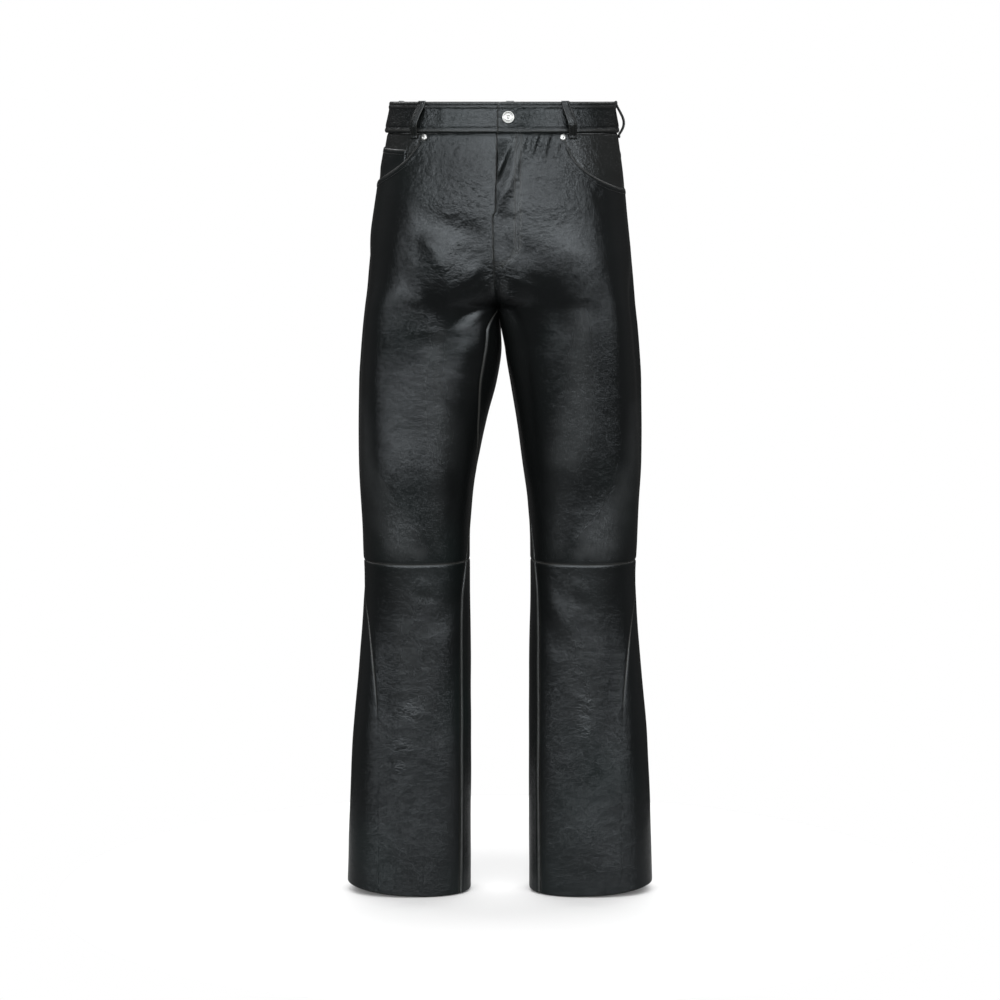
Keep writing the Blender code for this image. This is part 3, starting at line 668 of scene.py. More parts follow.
# where the leather is finely creased: (x, z, half width, half height, amount)
creaseSpots = (
    (-4, -244, 16, 32, 1.0), (-10, -222, 12, 14, 0.7), (12, -262, 14, 20, 0.6), (-108, -655, 22, 14, 0.15),
    (-122, -838, 18, 14, 0.55), (-135, -886, 14, 10, 0.7), (-138, -916, 8, 8, 0.5), (112, -660, 26, 16, 0.15),
    (118, -830, 12, 22, 0.4), (118, -864, 12, 12, 0.4), (50, -60, 34, 18, 0.6), (20, -46, 16, 8, 0.6),
    (-70, -220, 26, 34, 0.35), (-95, -300, 30, 20, 0.3),
)
# and where its grain stands up: the same columns
grainSpots = (
    (-60, -96, 60, 64, 1.1), (70, -110, 60, 66, 0.8), (-70, -220, 40, 40, 0.6), (-4, -244, 16, 32, 0.8),
    (-95, -420, 50, 90, 0.08), (100, -420, 50, 90, 0.1), (-130, -560, 60, 60, 0.12), (130, -560, 60, 60, 0.12),
)


# painted highlight patches, lighter colour where the thighs, knees, shins and crotch catch the front light: (points x z
# half width ..., edge, amount)
highlightPatches = {
    right: (
        ((-84, -318, 12, -88, -380, 18, -84, -440, 22, -78, -484, 14), 34, 0.5),
        ((-84, -494, 13, -87, -560, 11, -88, -612, 7), 26, 0.3),
        ((-192, -415, 2, -184, -485, 7, -156, -560, 20, -136, -600, 28), 30, 0.7),
        ((-150, -604, 12, -112, -614, 10), 22, 0.9),
        ((-115, -650, 33, -115, -730, 34, -116, -830, 24), 34, 0.32),
        ((-4, -226, 5, -5, -250, 7, -4, -268, 5), 6, 0.7),
    ),
    left: (
        ((110, -290, 12, 109, -392, 18, 100, -440, 26, 90, -480, 22), 36, 0.8),
        ((84, -494, 14, 82, -560, 11, 82, -612, 9), 26, 0.35),
        ((192, -415, 2, 184, -485, 7, 156, -560, 20, 136, -600, 28), 30, 0.7),
        ((150, -604, 12, 112, -614, 10), 22, 0.9),
        ((115, -650, 33, 115, -730, 34, 116, -830, 24), 34, 0.32),
        ((72, -662, 5, 92, -706, 9), 12, 0.3),
        ((4, -238, 4, 6, -262, 5), 6, 0.5),
    ),
}


def patchMask(x, z, patches):
    total = np.zeros_like(x)
    bentX = x + 1.6 * mm * np.sin(z / (9 * mm) + 3 * np.sin(z / (37 * mm) + x / (21 * mm)))
    bentZ = z + 1.6 * mm * np.sin(x / (8 * mm) + 3 * np.sin(x / (31 * mm) + z / (23 * mm)))
    for points, edge, amount in patches:
        px, pz, wide = (np.array(points[k::3]) * mm for k in range(3))
        inside = np.full_like(x, -1.0)
        for i in range(len(px) - 1):
            dx, dz = px[i + 1] - px[i], pz[i + 1] - pz[i]
            t = np.clip(((bentX - px[i]) * dx + (bentZ - pz[i]) * dz) / (dx * dx + dz * dz), 0, 1)
            away = np.hypot(bentX - px[i] - t * dx, bentZ - pz[i] - t * dz)
            inside = np.maximum(inside, wide[i] + t * (wide[i + 1] - wide[i]) - away)
        total = np.maximum(total, amount * smooth(inside / (edge * mm) + 0.5))
    return total


def spotMask(x, z, spots):
    total = np.zeros_like(x)
    for cx, cz, wide, high, amount in spots:
        u, v = (x - cx * mm) / (wide * mm), (z - cz * mm) / (high * mm)
        total = np.maximum(total, amount * np.exp(-(u * u + v * v)))
    return total


# the other panels


def makeBackUpper(side, material):
    def top(degrees):
        return yokeAt(degrees) - seams["gap"] / 2

    def low(degrees):
        return np.full_like(degrees, seams["knee"] + seams["gap"] / 2)

    across, down = spread(nearSeam, 96), spread(nearSeam, 196)
    degrees, z, fromOuter, fromInner = layGrid(side, outSeamOf, innerBack, top, low, across, down)
    flat = formAt(degrees, z, 0, side)
    x = flat[..., 0]
    back = smooth((flat[..., 1] + 0.02) / 0.05)
    relief = (strokeRelief(x, z, backStrokes[side]) + hillRelief(x, z, backHills[side])) * back
    relief *= smooth(fromInner / (8 * mm))
    relief += ripples(arcAt(degrees, z), z, 13 + side)
    toYoke = yokeAt(degrees) - z
    relief += rolled(z - seams["knee"]) + rolled(fromOuter, *cloth["outEdge"])
    relief += rolled(fromInner, *cloth["backEdge"]) + rolled(toYoke, 0.9 * mm, 1.2 * mm)
    # the flat-felled side of the inseam stands up as a soft ridge
    relief += np.where(z < seams["crotch"], 0.8, 0.0) * mm * bell(fromInner - 4 * mm, 3 * mm)
    points = formAt(degrees, z, -relief, side)
    wearAndHighlight = 0.9 * bell(z - seams["knee"], 1.1 * mm)
    wearAndHighlight = np.maximum(wearAndHighlight, 0.5 * bell(fromInner - 1.0 * mm, 1.2 * mm))
    wearAndHighlight = np.maximum(wearAndHighlight, 0.35 * bell(fromOuter, 1.0 * mm))
    wearAndHighlight = np.maximum(wearAndHighlight, 0.3 * bell(toYoke, 1.2 * mm))
    crease = 0.5 * bell(z + 0.565, 0.035) * back + 0.5 * bell(z + 0.275, 0.03) * back
    made = gridMesh(f"back_upper_{sideNames[side]}_leather", points, wearAndHighlight, crease, cloth["thick"])
    facesOut(made, axisOf)
    return addPiece(made, f"back_upper_{sideNames[side]}", material)


def makeYoke(side, material):
    def top(degrees):
        return np.full_like(degrees, seams["waist"] - seams["gap"])

    def low(degrees):
        return yokeAt(degrees) + seams["gap"] / 2

    across, down = spread(nearSeam, 84), spread((0, 0.5, 1.2, 2.2, 3.4, 5.0, 7.0), 16)
    degrees, z, fromOuter, fromInner = layGrid(side, outSeamOf, innerBack, top, low, across, down)
    toSeam = z - yokeAt(degrees)
    relief = ripples(arcAt(degrees, z), z, 23 + side) * 0.6
    relief += rolled(seams["waist"] - z, *cloth["waistEdge"]) + rolled(fromOuter, *cloth["outEdge"])
    relief += rolled(fromInner, *cloth["backEdge"])
    # lapped over the panel below: its edge is turned and stitched twice
    relief += 0.6 * mm * smooth((9 * mm - toSeam) / (2 * mm)) + rolled(toSeam, 0.7 * mm, 0.8 * mm)
    for line in yoke["stitches"]:
        relief -= 0.4 * mm * bell(toSeam - line, 0.9 * mm)
    points = formAt(degrees, z, -relief, side)
    wearAndHighlight = 0.4 * bell(toSeam - 0.6 * mm, 1.0 * mm)
    wearAndHighlight = np.maximum(wearAndHighlight, 0.3 * bell(fromInner, 1.0 * mm))
    made = gridMesh(f"yoke_{sideNames[side]}_leather", points, wearAndHighlight, 0, cloth["thick"])
    facesOut(made, axisOf)
    return addPiece(made, f"yoke_{sideNames[side]}", material)


def makeLower(side, isFront, material):
    def top(degrees):
        return np.full_like(degrees, seams["knee"] - seams["gap"] / 2)

    first, last = (innerFront, outSeamOf) if isFront else (outSeamOf, innerBack)
    across = spread(nearSeam, 44 if isFront else 84)
    down = spread(nearSeam, 178)
    degrees, z, fromFirst, fromLast = layGrid(side, first, last, top, hemAt, across, down)
    fromInner, fromOuter = (fromFirst, fromLast) if isFront else (fromLast, fromFirst)
    flat = formAt(degrees, z, 0, side)
    x, y = flat[..., 0], flat[..., 1]
    front = smooth((-y + 0.01) / 0.03)
    relief = (strokeRelief(x, z, kneeStrokes[side]) + hillRelief(x, z, frontHills[side])) * front
    relief += (strokeRelief(x, z, backStrokes[side]) + hillRelief(x, z, backHills[side])) * (1 - front)
    fade = smooth((z - hemAt(degrees)) / (60 * mm)) * 0.7 + 0.3
    relief += ripples(arcAt(degrees, z), z, (33 if isFront else 43) + side) * fade
    toKnee = seams["knee"] - z
    relief += rolled(toKnee)
    if isFront:
        relief += rolled(fromInner, 1.3 * mm, 1.6 * mm)
    else:
        # the inseam's ridge
        relief += rolled(fromInner, 0.9 * mm, 0.9 * mm)
        relief += 1.0 * mm * bell(fromInner - 4.2 * mm, 2.6 * mm)
    relief += rolled(fromOuter, 0.8 * mm, 1.6 * mm) * smooth((z + 0.92) / 0.16)
    relief += rolled(z - hemAt(degrees), 0.25 * mm, 0.8 * mm)
    points = formAt(degrees, z, -relief, side)
    # lighter along the knee seam, the outseam, the inseam and the hem: edge wear, with painted highlight on the knee
    # seam's ridge and along the outseam below the knee, which fades out down the shin where its light falls away
    wearAndHighlight = 0.6 * bell(toKnee, 1.1 * mm)
    outseamHighlight = 0.75 * smooth((z + 0.86) / 0.10)
    wearAndHighlight = np.maximum(wearAndHighlight, outseamHighlight * bell(fromOuter, 1.3 * mm))
    wearAndHighlight = np.maximum(wearAndHighlight, 0.4 * bell(fromInner - 1.2 * mm, 1.6 * mm))
    wearAndHighlight = np.maximum(wearAndHighlight, 0.3 * bell(z - hemAt(degrees), 0.8 * mm))
    crease = spotMask(x, z, creaseSpots) * front
    name = f"{'front' if isFront else 'back'}_lower_{sideNames[side]}"
    made = gridMesh(f"{name}_leather", points, wearAndHighlight, crease, cloth["thick"],
                    0.08 * front * smooth((z + 0.9) / 0.1), patchMask(x, z, highlightPatches[side]) * front)
    facesOut(made, axisOf)
    return addPiece(made, name, material)


# what shows in the scoop pockets

coinPocket = {
    "top": -61.5 * mm, "slope": 3.5 * mm, "from": 47, "under": 8 * mm, "stitches": (1.8 * mm, 6.4 * mm),
}
facing = {
    "under": 14 * mm,
    "before": 6,
    "bulge": 1.4 * mm,
    "strokes": {
        left: (
            ((100, -44, 108, -62, 116, -88), 5.5, 1.3, 0.3),
            ((92, -44, 100, -66, 110, -92), 4.5, -1.0, 0.3),
        ),
        right: (((-112, -46, -122, -60, -128, -78), 5, 0.9, 0.3),),
    },
}


def facingBulge(side, degrees, z):
    # away from the mouth's edge the side panel comes up to the front's level
    return facing["bulge"] * smooth((z - mouthAt(side, degrees) - 4 * mm) / (18 * mm))


def makeFacing(side, deep, material):
    mouth = mouths[side]
    columns, rows = 90, 60
    u = np.linspace(0, 1, columns)[None, :]
    v = np.linspace(0, 1, rows)[:, None]
    fromDegrees = mouth["start"] - facing["before"]
    degrees = fromDegrees + u * (outSeam(-0.08) - 0.4 - fromDegrees) + 0 * v
    top = seams["waist"] - seams["gap"]
    low = np.minimum(mouthAt(side, degrees), top) - facing["under"]
    z = top + v * (low - top)
    x = formAt(degrees, z, 0, side)[..., 0]
    relief = 0.35 * ripples(arcAt(degrees, z), z, 53 + side) + rolled(seams["waist"] - z, 1.2 * mm, 2.2 * mm)
    relief += strokeRelief(x, z, facing["strokes"][side])
    bulge = facingBulge(side, degrees, z)
    points = formAt(degrees, z, deep - bulge - np.clip(relief, -9, 0.15 * mm), side)
    made = gridMesh(f"pocket_facing_{sideNames[side]}_leather", points, 0.12, 0.3, cloth["thin"])
    facesOut(made, axisOf)
    return addPiece(made, f"pocket_facing_{sideNames[side]}", material)


def makeCoinPocket(deep, material):
    columns, rows = 48, 34
    u = np.linspace(0, 1, columns)[None, :]
    v = np.linspace(0, 1, rows)[:, None]
    degrees = coinPocket["from"] + u * (outSeam(-0.08) - 0.6 - coinPocket["from"]) + 0 * v
    top = coinPocket["top"] - coinPocket["slope"] * (1 - u)
    low = mouthAt(right, degrees) - coinPocket["under"]
    z = top + v * (low - top)
    toTop = top - z
    relief = 0.35 * mm * smooth((7 * mm - toTop) / (1.5 * mm)) + rolled(toTop, 0.4 * mm, 0.8 * mm)
    for line in coinPocket["stitches"]:
        relief -= 0.3 * mm * bell(toTop - line, 0.8 * mm)
    relief += facingBulge(right, degrees, z)
    points = formAt(degrees, z, deep - relief, right)
    wearAndHighlight = 0.6 * bell(toTop - 0.4 * mm, 1.0 * mm)
    made = gridMesh("coin_pocket_leather", points, wearAndHighlight, 0.2, cloth["thin"])
    facesOut(made, axisOf)
    return addPiece(made, "coin_pocket", material)


# waistband

band = {
    "proud": 1.4 * mm,
    "thick": 3.2 * mm,
    "layerGap": 0.6 * mm,
    "rampFrom": 350,
    "lapEnd": 368,
    "corner": 7 * mm,
    # height, how far out
    "profile": (
        (0, -1.3), (-0.7, -0.35), (-1.8, 0.1), (-3.2, 0.15), (-4.2, -0.15), (-4.9, -0.45), (-5.7, 0.0),
        (-7.2, 0.3), (-8.8, -0.1), (-10.2, -0.7), (-13, -0.7), (-18, -0.35), (-24, 0.1), (-30, 0.6),
        (-33.6, 0.7), (-35.0, 0.1), (-36.4, 0.5), (-38.6, 0.9), (-40.4, 0.5), (-41.7, -0.4), (-42.5, -1.4),
    ),
    # short pulls round the button and the loops: points x z, half width, height, fade
    "pulls": (
        ((20, -22, 30, -20, 42, -16), 1.9, 0.8, 0.3), ((20, -26, 31, -28, 42, -32), 1.9, 0.8, 0.3),
        ((19, -17, 28, -14, 38, -10), 1.7, -0.7, 0.3), ((2, -20, -6, -19, -14, -17), 2.0, 0.4, 0.3),
        ((18, -30, 24, -33, 34, -35), 1.8, -0.6, 0.3), ((24, -24, 36, -24, 50, -23), 1.8, -0.6, 0.3),
        ((60, -14, 62, -24, 60, -34), 6, 0.35, 0.3), ((-60, -14, -58, -24, -61, -34), 8, 0.3, 0.3),
        ((-84, -12, -86, -22, -84, -34), 5, -0.35, 0.3), ((76, -12, 79, -22, 78, -34), 5, -0.35, 0.3),
    ),
}


def bandProfile(z):
    heights, outs = np.array(sorted(band["profile"])).T * mm
    return np.interp(z, heights, outs)


def bandWave(arc, share):
    # share is 0 at the band's top edge and 1 at its seam
    return 0.22 * mm * np.sin(arc / (9 * mm) + 3 * np.sin(arc / (31 * mm))) * np.sin(math.pi * share) ** 0.5


def bandUnder(first, degrees):
    # 0 along the band, rising to 1 where its end has gone under the other
    return np.clip((degrees - band["rampFrom"]) / (360 + first - band["rampFrom"]), 0, 1)


def makeWaistband(material):
    first = float(degreesAtX(np.array(seams["flyEdge"]), np.array(0.0)))
    start, end = arcAt(first, -0.02), arcAt(band["lapEnd"], -0.02)
    near = np.array((0, 0.4, 0.9, 1.6, 2.5, 3.6, 5.0, 6.5)) * mm
    inner = np.linspace(near[-1], end - start - near[-1], 430)[1:-1]
    arcs = start + np.concatenate([near, inner, end - start - near[::-1]])
    profileHeights = [height for height, _ in band["profile"]]
    heights = np.unique(np.round(np.concatenate([np.linspace(-42.5, 0, 30), profileHeights]), 2)) * mm
    v = heights[::-1][:, None] / seams["waist"]
    arc = arcs[None, :] + 0 * v
    degrees = degreesOf(arc, -0.02 + 0 * arc)
    z = v * seams["waist"] + 0 * arc
    fromStart = arc - start
    # the upper end's top corner is cut round
    corner = band["corner"]
    drop = np.where(fromStart < corner, corner - np.sqrt(np.clip(corner**2 - (corner - fromStart) ** 2, 0, None)), 0)
    z = z + (drop * 0.55) * -1 * (1 - v) ** 3
    out = bandProfile(v * seams["waist"])
    under = bandUnder(first, degrees)
    x = formAt(degrees, z, 0, left)[..., 0]
    y = formAt(degrees, z, 0, left)[..., 1]
    relief = np.maximum(out + 0 * arc, -1.4 * mm)
    relief += strokeRelief(x, z, band["pulls"]) * (y < 0) * (under <= 0)
    relief += bandWave(arc, v)
    relief += 0.3 * ripples(arc, z, 63)
    relief += rolled(fromStart, 1.3 * mm, 1.2 * mm)
    relief -= 0.45 * mm * bell(fromStart - 4.6 * mm, 0.8 * mm) * smooth((v - 0.1) / 0.1)
    inset = under * (band["thick"] + band["layerGap"]) - band["proud"]
    points = formAt(degrees, z, inset - relief, left)
    # lighter on the band's rim and its two ridges: edge wear, with painted highlight where the ridges catch the light
    wearAndHighlight = 0.55 * bell(z + 1.2 * mm, 1.4 * mm) + 0.4 * bell(z + 38.6 * mm, 1.6 * mm)
    wearAndHighlight += 0.3 * bell(z + 7.2 * mm, 1.3 * mm)
    wearAndHighlight = np.maximum(wearAndHighlight, 0.6 * bell(fromStart - 0.5 * mm, 1.0 * mm))
    crease = 0.5 * bell(x - 0.028, 0.02) * (y < 0) + 0.2
    grain = 0.45 + 0.6 * bell(x - 0.03, 0.022) * (y < 0)
    made = gridMesh("waistband_leather", points, wearAndHighlight, crease, band["thick"], grain)
    facesOut(made, axisOf)
    return addPiece(made, "waistband", material)


# belt loops

loops = {
    # name: degrees at its top and bottom, how far it stands off
    "places": {
        "front_left": (35, 38.5, 7.4), "front_right": (-38, -41.5, 7.4), "side_left": (98, 98, 7.8),
        "side_right": (-112, -112, 7.8), "back": (180, 180, 7.4),
    },
    "width": 11.5 * mm,
    "thick": 2.2 * mm,
    "top": 1 * mm,
    "low": -50 * mm,
    "sewn": 0.09,
    "bowLow": 1.25,
    "seam": 0.3 * mm,
}


def loopPath(stand, v):
    offBand = band["proud"] + loops["seam"] + loops["thick"]
    offPanel = loops["seam"] + loops["thick"]
    share = np.clip((v - loops["sewn"]) / (1 - 2 * loops["sewn"]), 0, 1) ** loops["bowLow"]
    out = offBand + (offPanel - offBand) * v**4 + stand * mm * np.sin(math.pi * share)
    return out, loops["top"] + v * (loops["low"] - loops["top"])


def loopPoints(top, bottom, stand, u, v, depth):
    # u is metres from the strap's middle
    out, z = loopPath(stand, v)
    aheadOut, aheadZ = loopPath(stand, v + 0.01)
    behindOut, behindZ = loopPath(stand, v - 0.01)
    run, rise = aheadOut - behindOut, aheadZ - behindZ
    slope = np.hypot(run, rise)
    out, z = out + depth * rise / slope, z - depth * run / slope
    middle = top + v * (bottom - top)
    speed = (arcAt(np.abs(middle) + 1, z) - arcAt(np.abs(middle) - 1, z)) / 2
    return formAt(middle + u / speed, z, -out, left)


def makeLoop(name, top, bottom, stand, material):
    # a closed strap: its rounded section is swept from the band's top edge to the panel
    half = loops["width"] / 2
    rows = np.concatenate([np.linspace(0, 0.06, 5), np.linspace(0.06, 0.94, 54)[1:-1], np.linspace(0.94, 1, 5)])
    u = np.array((-1, -0.94, -0.82, -0.68, -0.56, -0.44, -0.3, -0.12))
    u = np.concatenate([u, -u[::-1]]) * half
    across, down = np.meshgrid(u, rows)
    edge = half - np.abs(across)
    relief = -0.9 * mm * np.exp(-((edge / (0.7 * mm)) ** 1.5)) - 0.35 * mm * bell(edge - 2.2 * mm, 0.55 * mm)
    relief += 0.25 * mm * bell(across, 2.4 * mm)
    ends = np.minimum(down, 1 - down)
    relief -= 0.7 * mm * bell(ends, 0.012)
    points = loopPoints(top, bottom, stand, across, down, -relief)
    wearAndHighlight = 0.55 * bell(edge, 0.9 * mm) + 0.2 * bell(across, 2.0 * mm)
    made = gridMesh(f"belt_loop_{name}_leather", points, wearAndHighlight, 0.3, loops["thick"] - 0.1 * mm)
    facesOut(made, axisOf)
    return addPiece(made, f"belt_loop_{name}", material)


# back pockets

backPocket = {
    "fromMiddle": 38 * mm, "width": 138 * mm, "narrows": 9 * mm, "top": -126 * mm, "slope": 9 * mm,
    "height": 118 * mm, "point": 20 * mm, "off": 0.6 * mm,
    "edgeStitches": (2.0 * mm, 8.2 * mm), "topStitches": (2.4 * mm, 14.6 * mm),
}


def pocketSpot(u, v):
    size = backPocket
    top = size["top"] + size["slope"] * u
    low = top - size["height"] - size["point"] * (1 - np.abs(2 * u - 1))
    z = top + v * (low - top)
    distance = size["fromMiddle"] + size["narrows"] * v + u * (size["width"] - 2 * size["narrows"] * v)
    middle = arcAt(180 - degreesAtX(np.zeros_like(z), z), z)
    return degreesOf(middle - distance, z), z


def backRelief(side, degrees, z):
    # what the panel under a patch does, so that the patch lies on it
    flat = formAt(degrees, z, 0, side)
    back = smooth((flat[..., 1] + 0.02) / 0.05)
    under = (strokeRelief(flat[..., 0], z, backStrokes[side]) + hillRelief(flat[..., 0], z, backHills[side])) * back
    return under + ripples(arcAt(degrees, z), z, 13 + side)


def makeBackPocket(side, material):
    columns, rows = 72, 64
    lineU, _ = spread((0, 0.5, 1.1, 2.0, 3.2), columns - 10)
    shareU = (lineU[:, 0] + lineU[:, 1] * (backPocket["width"] - 6.4 * mm)) / backPocket["width"]
    lineV, _ = spread((0, 0.5, 1.1, 2.0, 3.2), rows - 10)
    shareV = (lineV[:, 0] + lineV[:, 1] * (backPocket["height"] - 6.4 * mm)) / backPocket["height"]
    u, v = np.meshgrid(np.clip(shareU, 0, 1), np.clip(shareV, 0, 1))
    degrees, z = pocketSpot(u, v)
    fromTop = v * backPocket["height"]
    fromSide = np.minimum(u, 1 - u) * (backPocket["width"] - 2 * backPocket["narrows"] * v)
    fromEdge = np.minimum(fromSide, (1 - v) * backPocket["height"])
    relief = backRelief(side, degrees, z) + rolled(fromEdge, 0.8 * mm, 0.9 * mm) + rolled(fromTop, 0.6 * mm, 0.9 * mm)
    relief += 0.5 * mm * smooth((17 * mm - fromTop) / (2 * mm))
    for line in backPocket["edgeStitches"]:
        relief -= 0.35 * mm * bell(fromEdge - line, 0.9 * mm) * smooth(fromTop / (2 * mm))
    for line in backPocket["topStitches"]:
        relief -= 0.35 * mm * bell(fromTop - line, 0.9 * mm)
    points = formAt(degrees, z, -relief - cloth["thick"] - backPocket["off"], side)
    wearAndHighlight = 0.45 * bell(np.minimum(fromEdge, fromTop) - 0.5 * mm, 1.0 * mm)
    made = gridMesh(f"back_pocket_{sideNames[side]}_leather", points, wearAndHighlight, 0.15, cloth["thick"])
    facesOut(made, axisOf)
    return addPiece(made, f"back_pocket_{sideNames[side]}", material)


# metal

button = {"degrees": 5.6, "z": -21 * mm, "radius": 8.5 * mm, "seated": 0.6 * mm, "thick": 3 * mm}
rivet = {"radius": 4.7 * mm, "seated": 0.4 * mm, "z": -48.2 * mm, "degrees": {left: 32.5, right: 34.5}}
# outlines from the axis outwards: radius, height, as shares of the radius
buttonProfile = (
    (0, 0.30), (0.10, 0.29), (0.17, 0.24), (0.20, 0.19), (0.26, 0.19), (0.34, 0.24), (0.50, 0.26), (0.56, 0.22),
    (0.60, 0.15), (0.66, 0.13), (0.72, 0.16), (0.76, 0.25), (0.82, 0.31), (0.90, 0.31), (0.97, 0.24), (1.0, 0.12),
    (0.99, 0.02), (0.92, 0.0), (0.45, -0.02), (0.45, -0.3), (0, -0.3),
)
rivetProfile = (
    (0, 0.05), (0.10, 0.05), (0.16, 0.10), (0.22, 0.26), (0.34, 0.30), (0.55, 0.28), (0.76, 0.20), (0.92, 0.10),
    (1.0, 0.0), (0.96, -0.05), (0, -0.05),
)


def outOf(degrees, z, out, side):
    spot = Vector(formAt(degrees, z, -out, side))
    across = formAt(degrees + 1, z, -out, side) - formAt(degrees - 1, z, -out, side)
    upwards = formAt(degrees, z + mm, -out, side) - formAt(degrees, z - mm, -out, side)
    outwards = Vector(side * np.cross(across, upwards)).normalized()
    return Matrix.Translation(spot) @ outwards.to_track_quat("Z", "Y").to_matrix().to_4x4()


def spun(name, profile, radius, at, steps):
    mesh = bmesh.new()
    verts = [mesh.verts.new((r * radius, 0, h * radius)) for r, h in profile]
    edges = [mesh.edges.new(pair) for pair in zip(verts, verts[1:])]
    bmesh.ops.spin(mesh, geom=verts + edges, cent=(0, 0, 0), axis=(0, 0, 1), angle=2 * math.pi, steps=steps,
                   use_merge=True)
    bmesh.ops.remove_doubles(mesh, verts=mesh.verts[:], dist=radius * 1e-4)
    bmesh.ops.recalc_face_normals(mesh, faces=mesh.faces[:])
    bmesh.ops.transform(mesh, matrix=at, verts=mesh.verts[:])
    return finishMesh(name, mesh, 0)


def makeButton(material):
    at = outOf(button["degrees"], button["z"], band["proud"] + button["seated"] + 0.4 * mm, left)
    made = spun("waist_button_metal", buttonProfile, button["radius"], at, 64)
    return addPiece(made, "waist_button", material)


def makeRivet(side, material):
    at = outOf(rivet["degrees"][side], rivet["z"], rivet["seated"] + 0.5 * mm, side)
    made = spun(f"rivet_{sideNames[side]}_metal", rivetProfile, rivet["radius"], at, 40)
    return addPiece(made, f"rivet_{sideNames[side]}", material)


# the closed zip, behind the fly

zipper = {
    "from": -10 * mm, "to": 20 * mm, "low": -150 * mm, "deep": 7.4 * mm, "thick": 0.7 * mm, "pitch": 2.6 * mm,
    "slider": -50 * mm,
}


def makeZip(material, metal):
    u = np.linspace(0, 1, 26)[None, :]
    v = np.linspace(0, 1, 70)[:, None]
    z = seams["waist"] - seams["gap"] + v * (zipper["low"] - seams["waist"]) + 0 * u
    x = zipper["from"] + u * (zipper["to"] - zipper["from"]) + 0 * v
    middle = (zipper["from"] + zipper["to"]) / 2
    relief = 0.25 * mm * bell(np.abs(x - middle) - 4 * mm, 0.9 * mm)
    points = formAt(degreesAtX(x, z), z, zipper["deep"] + relief, left)
    tape = gridMesh("fly_zip_tape", points, 0, 0, zipper["thick"])
    facesOut(tape, axisOf)
    addPiece(tape, "fly_zip", material)
    teeth = bmesh.new()
    count = int((seams["waist"] - zipper["low"] - 12 * mm) / (zipper["pitch"] / 2))
    for n in range(count):
        toothZ = seams["waist"] - 6 * mm - n * zipper["pitch"] / 2
        sideways = (1 if n % 2 else -1) * 1.1 * mm
        where = degreesAtX(np.array(middle + sideways), np.array(toothZ))
        at = outOf(float(where), toothZ, -zipper["deep"] - zipper["thick"] - 0.9 * mm, left)
        size = Matrix.Diagonal((3.4 * mm, 1.15 * mm, 1.5 * mm, 1))
        bmesh.ops.create_cube(teeth, size=1, matrix=at @ size)
    sliderDegrees = float(degreesAtX(np.array(middle), np.array(zipper["slider"])))
    slider = outOf(sliderDegrees, zipper["slider"], -zipper["deep"] - zipper["thick"] - 1.4 * mm, left)
    made = bmesh.ops.create_cube(teeth, size=1, matrix=slider @ Matrix.Diagonal((7.5 * mm, 9 * mm, 3.2 * mm, 1)))
    bmesh.ops.bevel(teeth, geom=list({edge for vert in made["verts"] for edge in vert.link_edges}), offset=0.8 * mm,
                    affect="EDGES", segments=2, profile=0.5, material=-1)
    chain = finishMesh("fly_zip_teeth", teeth, 0)
    for face in chain.data.polygons:
        face.use_smooth = False
    chain.data.materials.append(metal)
    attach(chain, "root")
    return tape, chain


# stitches

stitch = {"length": 2.5 * mm, "pitch": 3.3 * mm, "radius": 0.34 * mm}


def stitchRun(total, path, outs):
    # short threads along a line of points, each lying along it
    path = np.asarray(path)
    steps = np.linalg.norm(np.diff(path, axis=0), axis=1)
    along = np.concatenate([[0], np.cumsum(steps)])
    count = max(int(along[-1] / stitch["pitch"]), 1)
    run = bmesh.new()
    middles = (np.arange(count) + 0.5) * along[-1] / count
    for middle in middles:
        a, b = (np.array([np.interp(middle + d, along, path[:, k]) for k in range(3)]) for d in (-0.6 * mm, 0.6 * mm))
        out = np.array([np.interp(middle, along, outs[:, k]) for k in range(3)])
        lineX = Vector(b - a).normalized()
        lineZ = Vector(out).normalized()
        lineY = lineZ.cross(lineX).normalized()
        lineZ = lineX.cross(lineY)
        turn = Matrix((lineX, lineY, lineZ)).transposed().to_4x4()
        size = Matrix.Diagonal((stitch["length"] / 2, stitch["radius"], stitch["radius"], 1))
        at = Matrix.Translation(Vector((a + b) / 2)) @ turn @ size @ Matrix.Rotation(math.pi / 2, 4, "Y")
        bmesh.ops.create_uvsphere(run, u_segments=6, v_segments=4, radius=1, matrix=at)
    # joined once a run, because adding to one large mesh is slow
    data = bpy.data.meshes.new("run")
    run.to_mesh(data)
    run.free()
    total.from_mesh(data)
    bpy.data.meshes.remove(data)


def onForm(degrees, z, out, side):
    path = formAt(degrees, z, -out, side)
    return path, formAt(degrees, z, -out - 5 * mm, side) - path


def stitchPiece(name, runs, material):
    total = bmesh.new()
    for path, outs in runs:
        stitchRun(total, path, outs)
    made = finishMesh(name, total, 0)
    made.data.materials.append(material)
    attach(made, "root")
    return made


def offsetLine(lineArc, lineZ, distance):
    # the mouth's line moved into the panel, which lies under and inside it
    da, dz = np.gradient(lineArc), np.gradient(lineZ)
    length = np.hypot(da, dz)
    return lineArc + dz / length * distance, lineZ - da / length * distance


